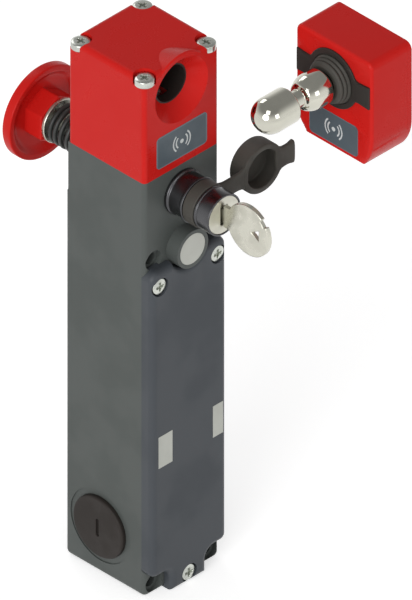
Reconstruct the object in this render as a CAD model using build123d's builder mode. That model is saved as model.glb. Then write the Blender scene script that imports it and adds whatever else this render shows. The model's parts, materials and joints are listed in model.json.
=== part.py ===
"""Guard locking switch with key release, escape button and coded actuator.

Millimetres, +Z up. The origin is the middle of the four mounting holes on the
back face. The back face is the plane Y = 0, the front looks along -Y.
"""
import os
from math import cos, radians, sin

from build123d import *

os.makedirs("parts", exist_ok=True)

# General clearances and walls
seat_gap = 0.15          # round a piece that drops into a recess
running_gap = 0.08       # radial, shaft in its bore
edge_r = 1.8             # upright edges of the castings
soft_r = 0.6             # small broken edges
axial_gap = 0.3          # between faces that turn past each other
screw_end_gap = 1.0      # between a screw's end and the floor of its hole
spring_seat_gap = 0.1    # between a spring's end turn and its seat
recess_l = 3.6           # cross recess of the pan head screws
recess_w = 0.9
recess_d = 1.1
pan_edge_r = 0.8

# Body casting
body_w = 40.0
body_d = 42.5
body_h = 192.5
side_wall = 3.5
back_wall = 4.0
pad_h = 169.0            # height of the thicker mounting pad at the back
pad_t = 1.5
foot_r = 2.5             # bottom edges that run front to back
mount_pitch_x = 30.0
mount_pitch_z = 150.0
mount_low = 5.0          # lower mounting holes above the bottom
mount_hole_r = 2.7
mount_spot_r = 4.2
mount_spot_depth = 2.3
bottom = -(mount_low + mount_pitch_z / 2)
seam = bottom + body_h
front = -body_d
upper_back = -pad_t

# Inner rooms of the body
bay_bottom = bottom + 11.0
bay_top = seam - 52.5
upper_floor = seam - 32.5
upper_half_w = body_w / 2 - 6.5
upper_front_wall = 5.0
upper_back_wall = 5.0

# Front cover
cover_rise = 4.4         # stands this far before the body's front
cover_seat = 1.6         # and drops this far into it
cover_top = seam - 40.8
cover_edge_r = 2.6
cover_corner_r = 4.0
cover_skin = 3.0
notch_w = 10.7
notch_h = 10.3
notch_r = 4.5
notch_edge_r = 3.0
gasket_w = 1.6
gasket_h = 1.0
cover_face = front - cover_rise
cover_back = front + cover_seat
cover_screw_x = body_w / 2 - 4.5
cover_screw_top = seam - 47.7
cover_screw_low = bottom + 4.3
cover_screw_head_r = 3.5
cover_screw_head_h = 2.2
cover_screw_shank_r = 1.75
cover_screw_len = 13.0
cover_pocket_r = 4.0
cover_pocket_depth = 2.6

# Head
head_h = 48.0
head_d = 41.0
head_top_r = 2.4
head_top = seam + head_h
head_back = front + head_d
head_screw_in = 3.4      # screw axis inside the side faces
head_screw_head_r = 3.4
head_screw_head_h = 2.9
head_screw_shank_r = 2.0
head_screw_sink = 1.1    # screw top below the head's top
head_pocket_r = 4.4
head_screw_grip = 9.0    # shank below the seam
head_gasket_w = 1.4
head_gasket_h = 0.8
head_gasket_in = 3.3
head_gasket_side_in = 4.8
head_gasket_r = 3.0

# Socket in the head
socket_z = seam + 34.5
funnel_mouth_r = 13.6
socket_r = 8.5
funnel_depth = 6.0
socket_depth = 31.0
liner_t = 0.7
boss_r = 16.4
boss_fade = 12.0         # the round boss sinks into the top over this length
label_w = 27.0
label_h = 14.5
label_z = seam + 10.7
label_t = 1.0
label_proud = 0.15
label_r = 1.8
antenna_w = 24.0
antenna_h = 15.0
antenna_t = 1.6
antenna_behind = 5.2

# Latch disc and locking rod
rod_y = front + 22.0
rod_r = 2.5
rod_travel = 4.0
disc_r = 10.0
disc_half_t = 3.0
disc_z = seam + 19.0
disc_turn = 50.0
nose_half = 1.5          # flats on the rod's nose
nose_len = 7.0
disc_side_gap = 0.6
disc_rim_gap = 1.2
axle_r = 2.0
axle_half = 12.0
rod_gap = 0.6            # rod nose under the disc
rod_notch_gap = 0.4
tongue_top = upper_floor + 6.0
tongue_t = 3.0
tongue_half_w = 3.0
tongue_front = front + 11.5
collar_r = 4.4

# Lock cylinder
lock_z = seam - 12.5
lock_proud = 23.0
lock_face = front - lock_proud
barrel_head_r = 8.9
barrel_head_len = 7.9
barrel_r = 6.9
barrel_tail = front + 11.5
bezel_r = 9.6
bezel_len = 9.4
bezel_step = 0.7
bezel_rim = 1.6
keyway_end_gap = 1.0
strap_ring_r = 9.3
strap_ring_gap = 0.1
core_r = 5.5
core_flange_r = 8.1
core_flange_t = 1.5
core_sink = 0.2
keyway_gap = 0.12
nut_across = 19.0
nut_t = 3.0
cam_t = 2.0
cam_hub_r = 4.6
cam_reach = 9.0
cam_w = 5.0
core_tail_r = 2.6
core_tail_len = 4.2
cam_nut_r = 3.6
cam_nut_t = 1.5

# Key
key_t = 2.0
key_bow_r = 11.2
key_bow_off = 13.5       # bow centre before the lock's face
key_blade_h = 7.0
key_blade_len = 23.0
key_neck_h = 9.6
key_hole_across = 5.6    # circle round the three-cornered hole
key_hole_off = 4.3
key_notch = 3.2
key_notch_angle = 140.0
key_cut_depth = 1.3
key_cut_pitch = 3.6
key_cuts = 5

# Rubber dust cap and its strap
cap_x = 32.0
cap_out_r = 10.75
cap_in_r = 8.25
cap_depth = 8.2
cap_floor = 1.6
cap_edge_r = 1.2
cap_rim = lock_face + 11.0
strap_h = 8.2
strap_t = 1.6
strap_end = 17.8
cap_gap = 0.4
tab_reach = 46.5
tab_h = 9.0
tab_t = 2.0
bead_r = 1.4
bead_h = 11.0

# Blanking plug below the lock
disc_boss_z = seam - 36.7
disc_boss_r = 8.3
disc_boss_rise = 6.0
plug_head_r = 6.75
plug_head_t = 1.4
plug_stem_r = 4.0
plug_stem_len = 7.0
boss_clear = 0.8         # gap between the boss and the cover round it

# Cable entries
cable_z = bottom + 22.0
cable_y = front + 23.7
cable_r = 9.25
cable_spot_r = 16.0
cable_spot_depth = 0.5
plug_r = 13.4
plug_rise = 2.2
plug_thread_len = 7.5
plug_slot_l = 8.0
plug_slot_w = 1.6
plug_slot_d = 1.2
oring_r = 0.8

# Status windows in the cover
window_z = bottom + 68.2
window_h = 14.5
window_left_x = -13.1
window_left_w = 7.4
window_right_x = 15.1
window_right_w = 5.4
window_t = 0.8
window_proud = 0.1

# Solenoid, board and terminals in the body
coil_bottom = bay_top - 50.0
coil_h = 35.0
coil_r = 11.0
coil_flange_t = 1.6
coil_waist = 1.0
plunger_r = 4.8
plunger_gap = 0.2
yoke_t = 2.0
yoke_half_w = 12.0
plunger_up = 5.0         # plunger above the yoke
plunger_in = 4.0         # plunger end above the coil's bottom
stem_r = 2.0
stem_len = 14.0
rod_spring_r = 3.7
rod_spring_wire = 0.45
rod_spring_turns = 4
contact_w = 22.0
contact_d = 23.0
contact_h = 12.0
contact_gap = 1.0
board_y = front + 6.5
board_t = 1.6
board_half_w = body_w / 2 - side_wall - 1.5
board_bottom = bay_top - 82.0
board_top = bay_top - 4.0
post_r = 2.0
post_x = board_half_w - post_r
post_inset = 4.0
terminal_w = body_w - 2 * side_wall - 5.0
terminal_d = 12.0
terminal_h = 16.0
terminal_ways = 7
terminal_bottom = bottom + 36.0
terminal_hole_r = 1.3

# Escape button at the back
shaft_r = 4.0
shaft_tip = -9.0
shaft_cone = 3.0
bush_r = 6.0
bush_flange_r = 10.2
bush_flange_t = 1.4
spring_r = 7.75
spring_wire = 1.05
spring_turns = 6.8
washer_y = 22.3
washer_t = 1.4
washer_r = 9.3
hub_across = 18.5
hub_len = 7.5
mushroom_r = 20.0
rim_t = 4.0
rim_y = 30.0
dish_depth = 2.4
dome_h = 3.6
mushroom_wall = 2.6

# Actuator, standing apart and turned towards the switch
act_face = 46.3
act_depth = 21.5
act_y = -78.0
act_w = 41.0
act_top = socket_z + 15.8
act_bottom = socket_z - 32.9
act_cut_w = 5.0
act_cut_h = 9.0
act_corner_r = 3.2
act_cut_r = 3.4          # leaves more than act_edge_r of straight edge beside it
act_edge_r = 1.4
act_wall = 3.0
plate_t = 2.5
act_bore_r = 10.4
band_t = 1.6
band_proud = 0.8
band_ring_r = 12.8
band_wing_h = 10.0
band_waist_h = 7.4
band_inset = 1.1
boot_nose_r = 8.4
boot_proud = 5.2
boot_rings = 3
boot_groove = 0.7
boot_inner = 6.0
ring_share = 0.6         # ring width in one ring pitch
pin_edge = 1.2
pin_r = 7.5
pin_tip = 4.5
pin_body_end = 21.6
pin_neck_r = 3.6
pin_neck_end = 27.8
pin_shaft_r = 5.0
pin_flange_r = 8.6
pin_flange_t = 3.0
pin_flange_x = 51.5
pin_end = 57.0
act_label_w = 26.0
act_label_h = 14.0
act_label_z = socket_z - 23.7
tag_r = 6.0
tag_t = 2.5
act_boss_r = 5.0         # reaches a little into the side walls
pin_barrel_end = 39.2
boot_lip = 1.5
act_hole_pitch = 26.0
act_hole_r = 2.1
act_hole_z = socket_z - 19.0
act_hole_depth = 9.0
act_back = act_face + act_depth


# Planes that face forward, and lathe planes whose first axis is the turning axis
def facing_front(y):
    return Plane.XZ.offset(-y)


def along_y(z, x=0.0):
    return Plane(origin=(x, 0, z), x_dir=(0, 1, 0), z_dir=(1, 0, 0))


def y_axis(z, x=0.0):
    return Axis((x, 0, z), (0, 1, 0))


def upright(x, y):
    return Plane(origin=(x, y, 0), x_dir=(1, 0, 0), z_dir=(0, -1, 0))


def z_axis(x, y):
    return Axis((x, y, 0), (0, 0, 1))


lock_plane = along_y(lock_z)
lock_axis = y_axis(lock_z)
socket_plane = along_y(socket_z)
socket_axis = y_axis(socket_z)
act_plane = Plane(origin=(0, act_y, socket_z), x_dir=(1, 0, 0), z_dir=(0, -1, 0))
act_axis = Axis((0, act_y, socket_z), (1, 0, 0))
body_middle_y = (front + 0) / 2
head_middle_y = (front + head_back) / 2
head_screw_x = body_w / 2 - head_screw_in
head_screw_dy = head_d / 2 - head_screw_in
head_screw_spots = [
    (sx * head_screw_x, head_middle_y + sy * head_screw_dy) for sx in (-1, 1) for sy in (-1, 1)
]
mount_spots = [
    (sx * mount_pitch_x / 2, sz * mount_pitch_z / 2) for sx in (-1, 1) for sz in (-1, 1)
]
cover_screw_spots = [
    (-cover_screw_x, cover_screw_top),
    (cover_screw_x, cover_screw_top),
    (0, cover_screw_low),
]

# Outline of the cover: notched at the foot, hollowed round the boss at the top
with BuildSketch(Plane.XZ) as cover_outline:
    with Locations((0, (bottom + cover_top) / 2)):
        Rectangle(body_w, cover_top - bottom)
    with Locations((0, disc_boss_z)):
        Circle(disc_boss_r + boss_clear, mode=Mode.SUBTRACT)
    for side in (-1, 1):
        with Locations((side * (body_w - notch_w) / 2, bottom + notch_h / 2)):
            Rectangle(notch_w, notch_h, mode=Mode.SUBTRACT)
    # inside a sketch the corners are picked by its own axes: X across, Y upwards
    upper = cover_outline.vertices().group_by(Axis.Y)[-1]
    fillet([v for v in upper if abs(v.X) > notch_w], radius=cover_corner_r)
    steps = [v for v in cover_outline.vertices() if abs(v.Y - bottom - notch_h) < soft_r]
    fillet([v for v in steps if abs(v.X) < body_w / 2 - soft_r], radius=notch_r)
    steps = [v for v in cover_outline.vertices() if abs(v.Y - bottom - notch_h) < soft_r]
    fillet([v for v in steps if abs(v.X) > body_w / 2 - soft_r], radius=notch_edge_r)

# Main casting of the switch
with BuildPart() as main_housing:
    with BuildSketch(Plane.XY.offset(bottom)):
        with Locations((0, body_middle_y)):
            RectangleRounded(body_w, body_d, edge_r)
    extrude(amount=body_h)
    foot_edges = main_housing.faces().sort_by(Axis.Z)[0].edges().filter_by(Axis.Y)
    fillet(foot_edges, radius=foot_r)
    # the back steps in above the mounting pad
    with BuildSketch(Plane.XY.offset(bottom + pad_h)):
        with Locations((0, upper_back / 2)):
            Rectangle(body_w, pad_t)
    extrude(amount=body_h - pad_h, mode=Mode.SUBTRACT)
    # boss that carries the blanking plug
    with BuildSketch(facing_front(front)):
        with Locations((0, disc_boss_z)):
            Circle(disc_boss_r)
    extrude(amount=disc_boss_rise)
    # seat of the cover
    with BuildSketch(facing_front(cover_back)):
        add(cover_outline.sketch_local)
        offset(amount=seat_gap)
    extrude(amount=cover_seat, mode=Mode.SUBTRACT)
    # wiring and solenoid bay, open to the front
    with BuildSketch(facing_front(-back_wall)):
        with Locations((0, (bay_bottom + bay_top) / 2)):
            RectangleRounded(body_w - 2 * side_wall, bay_top - bay_bottom, edge_r)
    extrude(amount=body_d - back_wall, mode=Mode.SUBTRACT)
    # upper room for the lock cam and the release, open to the head
    upper_front = front + upper_front_wall
    upper_rear = upper_back - upper_back_wall
    with BuildSketch(Plane.XY.offset(upper_floor)):
        with Locations((0, (upper_front + upper_rear) / 2)):
            RectangleRounded(2 * upper_half_w, upper_rear - upper_front, edge_r)
    extrude(amount=seam - upper_floor, mode=Mode.SUBTRACT)
    # bore of the locking rod between the two rooms
    with BuildSketch(Plane.XY.offset(bay_top)):
        with Locations((0, rod_y)):
            Circle(rod_r + running_gap)
    extrude(amount=upper_floor - bay_top, mode=Mode.SUBTRACT)
    # mounting holes, right through, with spot faces
    with BuildSketch(facing_front(0)):
        with Locations(*mount_spots):
            Circle(mount_hole_r)
    extrude(amount=body_d, mode=Mode.SUBTRACT)
    with BuildSketch(facing_front(front + mount_spot_depth)):
        with Locations(*mount_spots):
            Circle(mount_spot_r)
    extrude(amount=mount_spot_depth, mode=Mode.SUBTRACT)
    # lock bore at the front, release bore at the back
    with BuildSketch(facing_front(upper_front)):
        with Locations((0, lock_z)):
            Circle(barrel_r)
    extrude(amount=upper_front_wall, mode=Mode.SUBTRACT)
    with BuildSketch(facing_front(upper_back)):
        with Locations((0, lock_z)):
            Circle(bush_r)
    extrude(amount=upper_back_wall, mode=Mode.SUBTRACT)
    # stepped bore of the blanking plug
    plug_face = front - disc_boss_rise
    with BuildSketch(facing_front(plug_face)):
        with Locations((0, disc_boss_z)):
            Circle(plug_head_r)
    extrude(amount=-plug_head_t, mode=Mode.SUBTRACT)
    with BuildSketch(facing_front(plug_face)):
        with Locations((0, disc_boss_z)):
            Circle(plug_stem_r)
    extrude(amount=-(plug_head_t + plug_stem_len), mode=Mode.SUBTRACT)
    # tapped holes of the cover screws and the head screws
    with BuildSketch(facing_front(cover_back)):
        with Locations(*cover_screw_spots):
            Circle(cover_screw_shank_r)
    extrude(amount=-cover_screw_len, mode=Mode.SUBTRACT)
    with BuildSketch(Plane.XY.offset(seam)):
        with Locations(*head_screw_spots):
            Circle(head_screw_shank_r)
    extrude(amount=-head_screw_grip, mode=Mode.SUBTRACT)
    # cable entries with their spot faces, one each side
    for side in (-1, 1):
        with BuildSketch(Plane.YZ.offset(side * body_w / 2)):
            with Locations((cable_y, cable_z)):
                Circle(cable_r)
        extrude(amount=-side * side_wall, mode=Mode.SUBTRACT)
        with BuildSketch(Plane.YZ.offset(side * body_w / 2)):
            with Locations((cable_y, cable_z)):
                Circle(cable_spot_r)
        extrude(amount=-side * cable_spot_depth, mode=Mode.SUBTRACT)
main_housing.part.label = "main_housing"
export_step(main_housing.part, "parts/main_housing.step")

# Cover plate with rounded front edges and sunk screw seats
with BuildPart() as front_cover:
    with BuildSketch(facing_front(cover_back)):
        add(cover_outline.sketch_local)
    extrude(amount=cover_seat + cover_rise)
    front_rim = front_cover.faces().sort_by(Axis.Y)[0].edges()
    fillet(front_rim, radius=cover_edge_r)
    # hollow back of the plate over the bay
    with BuildSketch(facing_front(cover_back)):
        with Locations((0, (bay_bottom + bay_top) / 2)):
            RectangleRounded(
                body_w - 2 * (side_wall + gasket_w),
                bay_top - bay_bottom - 2 * gasket_w,
                edge_r,
            )
    extrude(amount=cover_seat + cover_rise - cover_skin, mode=Mode.SUBTRACT)
    with BuildSketch(facing_front(cover_face)):
        with Locations(*cover_screw_spots):
            Circle(cover_pocket_r)
    extrude(amount=-cover_pocket_depth, mode=Mode.SUBTRACT)
    with BuildSketch(facing_front(cover_face)):
        with Locations(*cover_screw_spots):
            Circle(cover_screw_shank_r)
    extrude(amount=-(cover_seat + cover_rise), mode=Mode.SUBTRACT)
    with BuildSketch(facing_front(cover_face)):
        with Locations((window_left_x, window_z)):
            Rectangle(window_left_w, window_h)
        with Locations((window_right_x, window_z)):
            Rectangle(window_right_w, window_h)
    extrude(amount=-(window_t - window_proud), mode=Mode.SUBTRACT)
    # groove of the gasket
    with BuildSketch(facing_front(cover_back)):
        with Locations((0, (bay_bottom + bay_top) / 2)):
            RectangleRounded(body_w - 2 * side_wall + gasket_w, bay_top - bay_bottom + gasket_w, edge_r)
            RectangleRounded(
                body_w - 2 * side_wall - gasket_w,
                bay_top - bay_bottom - gasket_w,
                edge_r,
                mode=Mode.SUBTRACT,
            )
    extrude(amount=gasket_h, mode=Mode.SUBTRACT)
front_cover.part.label = "front_cover"
export_step(front_cover.part, "parts/front_cover.step")

# Flat sealing cord in the cover's groove
with BuildPart() as cover_gasket:
    with BuildSketch(facing_front(cover_back)):
        with Locations((0, (bay_bottom + bay_top) / 2)):
            RectangleRounded(body_w - 2 * side_wall + gasket_w, bay_top - bay_bottom + gasket_w, edge_r)
            RectangleRounded(
                body_w - 2 * side_wall,
                bay_top - bay_bottom,
                edge_r,
                mode=Mode.SUBTRACT,
            )
    extrude(amount=gasket_h)
cover_gasket.part.label = "cover_gasket"
export_step(cover_gasket.part, "parts/cover_gasket.step")

# Pan head screws of the cover, each with a cross recess
with BuildPart() as cover_screws:
    seat_y = cover_face + cover_pocket_depth
    with BuildSketch(facing_front(seat_y)):
        with Locations(*cover_screw_spots):
            Circle(cover_screw_head_r)
    extrude(amount=cover_screw_head_h)
    head_rims = cover_screws.faces().group_by(Axis.Y)[0].edges()
    fillet(head_rims, radius=pan_edge_r)
    with BuildSketch(facing_front(seat_y)):
        with Locations(*cover_screw_spots):
            Circle(cover_screw_shank_r)
    extrude(amount=-(cover_screw_len - screw_end_gap + cover_back - seat_y))
    with BuildSketch(facing_front(seat_y - cover_screw_head_h)):
        with Locations(*cover_screw_spots):
            Rectangle(recess_l, recess_w)
            Rectangle(recess_w, recess_l)
    extrude(amount=-recess_d, mode=Mode.SUBTRACT)
cover_screws.part.label = "cover_screws"
export_step(cover_screws.part, "parts/cover_screws.step")

# Bare window pads in the cover
with BuildPart() as status_windows:
    with BuildSketch(facing_front(cover_face - window_proud)):
        with Locations((window_left_x, window_z)):
            Rectangle(window_left_w, window_h)
        with Locations((window_right_x, window_z)):
            Rectangle(window_right_w, window_h)
    extrude(amount=-window_t)
status_windows.part.label = "status_windows"
export_step(status_windows.part, "parts/status_windows.step")

# Turnable head with the socket for the actuator's pin
with BuildPart() as head_housing:
    with BuildSketch(Plane.XY.offset(seam)):
        with Locations((0, head_middle_y)):
            RectangleRounded(body_w, head_d, edge_r)
    extrude(amount=head_h)
    top_edges = head_housing.faces().sort_by(Axis.Z)[-1].edges()
    fillet(top_edges, radius=head_top_r)
    # round boss that stands a little over the top and fades backwards
    with BuildSketch(socket_plane):
        with BuildLine():
            Polyline(
                (front, 0),
                (front, boss_r - soft_r),
                (front + soft_r, boss_r),
                (front + boss_fade, head_top - socket_z - soft_r),
                (front + boss_fade, 0),
                close=True,
            )
        make_face()
    revolve(axis=socket_axis)
    # funnel and bore
    with BuildSketch(socket_plane):
        with BuildLine():
            Polyline(
                (front, 0),
                (front, funnel_mouth_r + soft_r),
                (front + soft_r, funnel_mouth_r),
                (front + funnel_depth, socket_r),
                (front + socket_depth, socket_r),
                (front + socket_depth, 0),
                close=True,
            )
        make_face()
    revolve(axis=socket_axis, mode=Mode.SUBTRACT)
    # corner pockets and holes of the head screws
    screw_seat = head_top - head_screw_sink - head_screw_head_h
    with BuildSketch(Plane.XY.offset(screw_seat)):
        with Locations(*head_screw_spots):
            Circle(head_pocket_r)
    extrude(amount=head_top - screw_seat, mode=Mode.SUBTRACT)
    with BuildSketch(Plane.XY.offset(seam)):
        with Locations(*head_screw_spots):
            Circle(head_screw_shank_r)
    extrude(amount=head_h, mode=Mode.SUBTRACT)
    # room of the latch disc, open below
    disc_room = disc_r + disc_rim_gap
    with BuildSketch(Plane.XY.offset(seam)):
        with Locations((0, rod_y)):
            Rectangle(2 * (disc_half_t + disc_side_gap), 2 * disc_room)
    extrude(amount=socket_z - seam, mode=Mode.SUBTRACT)
    with BuildSketch(Plane.YZ.offset(-axle_half)):
        with Locations((rod_y, disc_z)):
            Circle(axle_r)
    extrude(amount=2 * axle_half, mode=Mode.SUBTRACT)
    # slot of the antenna board and recess of the label plate
    with BuildSketch(Plane.XY.offset(seam)):
        with Locations((0, front + antenna_behind + antenna_t / 2)):
            Rectangle(antenna_w + 2 * seat_gap, antenna_t + 2 * seat_gap)
    extrude(amount=label_z + antenna_h / 2 - seam, mode=Mode.SUBTRACT)
    with BuildSketch(facing_front(front)):
        with Locations((0, label_z)):
            RectangleRounded(label_w, label_h, label_r)
    extrude(amount=-(label_t - label_proud), mode=Mode.SUBTRACT)
    # groove of the seam gasket
    gasket_x = body_w - 2 * head_gasket_side_in
    gasket_y = head_d - 2 * head_gasket_in
    with BuildSketch(Plane.XY.offset(seam)):
        with Locations((0, head_middle_y)):
            RectangleRounded(gasket_x, gasket_y, head_gasket_r)
            RectangleRounded(
                gasket_x - 2 * head_gasket_w,
                gasket_y - 2 * head_gasket_w,
                head_gasket_r - head_gasket_w,
                mode=Mode.SUBTRACT,
            )
    extrude(amount=head_gasket_h, mode=Mode.SUBTRACT)
head_housing.part.label = "head_housing"
export_step(head_housing.part, "parts/head_housing.step")

# Gasket between head and body
with BuildPart() as head_gasket:
    with BuildSketch(Plane.XY.offset(seam)):
        with Locations((0, head_middle_y)):
            RectangleRounded(gasket_x, gasket_y, head_gasket_r)
            RectangleRounded(
                gasket_x - 2 * head_gasket_w,
                gasket_y - 2 * head_gasket_w,
                head_gasket_r - head_gasket_w,
                mode=Mode.SUBTRACT,
            )
    extrude(amount=head_gasket_h)
head_gasket.part.label = "head_gasket"
export_step(head_gasket.part, "parts/head_gasket.step")

# Four pan head screws that hold the head
with BuildPart() as head_screws:
    with BuildSketch(Plane.XY.offset(screw_seat)):
        with Locations(*head_screw_spots):
            Circle(head_screw_head_r)
    extrude(amount=head_screw_head_h)
    head_rims = head_screws.faces().group_by(Axis.Z)[-1].edges()
    fillet(head_rims, radius=pan_edge_r)
    with BuildSketch(Plane.XY.offset(seam - head_screw_grip + screw_end_gap)):
        with Locations(*head_screw_spots):
            Circle(head_screw_shank_r)
    extrude(amount=screw_seat - seam + head_screw_grip - screw_end_gap)
    with BuildSketch(Plane.XY.offset(screw_seat + head_screw_head_h)):
        with Locations(*head_screw_spots):
            Rectangle(recess_l, recess_w)
            Rectangle(recess_w, recess_l)
    extrude(amount=-recess_d, mode=Mode.SUBTRACT)
head_screws.part.label = "head_screws"
export_step(head_screws.part, "parts/head_screws.step")

# Plate under the socket
with BuildPart() as head_label:
    with BuildSketch(facing_front(front - label_proud)):
        with Locations((0, label_z)):
            RectangleRounded(label_w, label_h, label_r)
    extrude(amount=-label_t)
head_label.part.label = "head_label"
export_step(head_label.part, "parts/head_label.step")

# Dark liner of the bore, slotted below for the latch disc
with BuildPart() as socket_liner:
    with BuildSketch(facing_front(front + socket_depth)):
        with Locations((0, socket_z)):
            Circle(socket_r)
            Circle(socket_r - liner_t, mode=Mode.SUBTRACT)
    extrude(amount=socket_depth - funnel_depth)
    with BuildSketch(Plane.XY.offset(socket_z - socket_r)):
        with Locations((0, rod_y)):
            Rectangle(2 * (disc_half_t + disc_side_gap), 2 * disc_room)
    extrude(amount=socket_r, mode=Mode.SUBTRACT)
socket_liner.part.label = "socket_liner"
export_step(socket_liner.part, "parts/socket_liner.step")

# Antenna board behind the label plate
with BuildPart() as antenna_board:
    with BuildSketch(facing_front(front + antenna_behind + antenna_t)):
        with Locations((0, label_z)):
            RectangleRounded(antenna_w, antenna_h, soft_r)
    extrude(amount=antenna_t)
antenna_board.part.label = "antenna_board"
export_step(antenna_board.part, "parts/antenna_board.step")

# Axle and disc of the latch: a flat clears the bore, two notches take the rod
with BuildPart() as latch_axle:
    with BuildSketch(Plane.YZ.offset(-axle_half)):
        with Locations((rod_y, disc_z)):
            Circle(axle_r)
    extrude(amount=2 * axle_half)
latch_axle.part.label = "latch_axle"
export_step(latch_axle.part, "parts/latch_axle.step")

disc_flat = socket_z - socket_r - disc_z
notch_half_w = nose_half + rod_notch_gap
notch_floor = disc_r + rod_gap - rod_travel - rod_notch_gap
with BuildPart() as latch_disc:
    with BuildSketch(Plane.YZ.offset(-disc_half_t)):
        with Locations((rod_y, disc_z)):
            Circle(disc_r)
            Circle(axle_r + running_gap, mode=Mode.SUBTRACT)
        with Locations((rod_y, disc_z + disc_flat + disc_r)):
            Rectangle(2 * disc_r, 2 * disc_r, mode=Mode.SUBTRACT)
        for turn in (0, disc_turn):
            middle = notch_floor + disc_r / 2
            spot = (rod_y + middle * sin(radians(turn)), disc_z - middle * cos(radians(turn)))
            with Locations(spot):
                Rectangle(2 * notch_half_w, disc_r, rotation=turn, mode=Mode.SUBTRACT)
    extrude(amount=2 * disc_half_t)
latch_disc.part.label = "latch_disc"
export_step(latch_disc.part, "parts/latch_disc.step")

# Locking rod with the collar and tongue that the releases push down
rod_top = disc_z - disc_r - rod_gap
plunger_bottom = coil_bottom + plunger_in
plunger_top = coil_bottom + coil_h + yoke_t + plunger_up
with BuildPart() as locking_rod:
    with BuildSketch(Plane.XY.offset(plunger_top)):
        with Locations((0, rod_y)):
            Circle(rod_r)
    extrude(amount=rod_top - plunger_top)
    with BuildSketch(Plane.XY.offset(tongue_top - tongue_t)):
        with Locations((0, rod_y)):
            Circle(collar_r)
        with Locations((0, (tongue_front + rod_y) / 2)):
            Rectangle(2 * tongue_half_w, rod_y - tongue_front)
    extrude(amount=tongue_t)
    # two flats on the nose that enters the disc's notch
    with BuildSketch(Plane.XY.offset(rod_top - nose_len)):
        for side in (-1, 1):
            with Locations((0, rod_y + side * (nose_half + rod_r / 2))):
                Rectangle(2 * rod_r, rod_r)
    extrude(amount=nose_len, mode=Mode.SUBTRACT)
    chamfer(locking_rod.faces().sort_by(Axis.Z)[-1].edges(), length=soft_r)
locking_rod.part.label = "locking_rod"
export_step(locking_rod.part, "parts/locking_rod.step")

# Solenoid: plunger, winding, bent yoke and return spring
with BuildPart() as solenoid_plunger:
    with BuildSketch(Plane.XY.offset(plunger_bottom)):
        with Locations((0, rod_y)):
            Circle(plunger_r)
    extrude(amount=plunger_top - plunger_bottom)
    with BuildSketch(Plane.XY.offset(plunger_bottom - stem_len)):
        with Locations((0, rod_y)):
            Circle(stem_r)
    extrude(amount=stem_len)
solenoid_plunger.part.label = "solenoid_plunger"
export_step(solenoid_plunger.part, "parts/solenoid_plunger.step")

with BuildPart() as solenoid_coil:
    with BuildSketch(upright(0, rod_y)):
        with BuildLine():
            Polyline(
                (plunger_r + plunger_gap, coil_bottom),
                (coil_r, coil_bottom),
                (coil_r, coil_bottom + coil_flange_t),
                (coil_r - coil_waist, coil_bottom + coil_flange_t),
                (coil_r - coil_waist, coil_bottom + coil_h - coil_flange_t),
                (coil_r, coil_bottom + coil_h - coil_flange_t),
                (coil_r, coil_bottom + coil_h),
                (plunger_r + plunger_gap, coil_bottom + coil_h),
                close=True,
            )
        make_face()
    revolve(axis=z_axis(0, rod_y))
solenoid_coil.part.label = "solenoid_coil"
export_step(solenoid_coil.part, "parts/solenoid_coil.step")

yoke_front = rod_y - coil_r
with BuildPart() as solenoid_yoke:
    with BuildSketch(Plane.YZ.offset(-yoke_half_w)):
        with BuildLine():
            Polyline(
                (yoke_front, coil_bottom),
                (-back_wall - yoke_t, coil_bottom),
                (-back_wall - yoke_t, coil_bottom + coil_h),
                (yoke_front, coil_bottom + coil_h),
                (yoke_front, coil_bottom + coil_h + yoke_t),
                (-back_wall, coil_bottom + coil_h + yoke_t),
                (-back_wall, coil_bottom - yoke_t),
                (yoke_front, coil_bottom - yoke_t),
                close=True,
            )
        make_face()
    extrude(amount=2 * yoke_half_w)
    with BuildSketch(Plane.XY.offset(coil_bottom + coil_h)):
        with Locations((0, rod_y)):
            Circle(plunger_r + plunger_gap)
    extrude(amount=yoke_t, mode=Mode.SUBTRACT)
    with BuildSketch(Plane.XY.offset(coil_bottom - yoke_t)):
        with Locations((0, rod_y)):
            Circle(stem_r + plunger_gap)
    extrude(amount=yoke_t, mode=Mode.SUBTRACT)
solenoid_yoke.part.label = "solenoid_yoke"
export_step(solenoid_yoke.part, "parts/solenoid_yoke.step")

# Coil springs are swept round a helix and stop square at their seats
with BuildPart() as rod_spring:
    spring_from = plunger_top + rod_spring_wire + spring_seat_gap
    spring_to = bay_top - rod_spring_wire - spring_seat_gap
    spring_pitch = (spring_to - spring_from) / rod_spring_turns
    with BuildLine() as rod_coil:
        Helix(
            pitch=spring_pitch,
            height=spring_to - spring_from,
            radius=rod_spring_r,
            center=(0, rod_y, spring_from),
        )
    with BuildSketch(Plane(rod_coil.line @ 0, z_dir=rod_coil.line % 0)):
        Circle(rod_spring_wire)
    sweep(is_frenet=True)
rod_spring.part.label = "rod_spring"
export_step(rod_spring.part, "parts/rod_spring.step")

# Contact block under the solenoid, circuit board and terminal block
contact_top = plunger_bottom - stem_len - contact_gap
with BuildPart() as contact_block:
    with BuildSketch(Plane.XY.offset(contact_top - contact_h)):
        with Locations((0, -back_wall - contact_d / 2)):
            Rectangle(contact_w, contact_d)
    extrude(amount=contact_h)
    chamfer(contact_block.edges().filter_by(Axis.Z), length=soft_r)
contact_block.part.label = "contact_block"
export_step(contact_block.part, "parts/contact_block.step")

board_spots = [
    (sx * post_x, z) for sx in (-1, 1) for z in (board_bottom + post_inset, board_top - post_inset)
]
with BuildPart() as circuit_board:
    with BuildSketch(facing_front(board_y)):
        with Locations((0, (board_bottom + board_top) / 2)):
            RectangleRounded(2 * board_half_w, board_top - board_bottom, soft_r)
    extrude(amount=board_t)
circuit_board.part.label = "circuit_board"
export_step(circuit_board.part, "parts/circuit_board.step")

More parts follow.
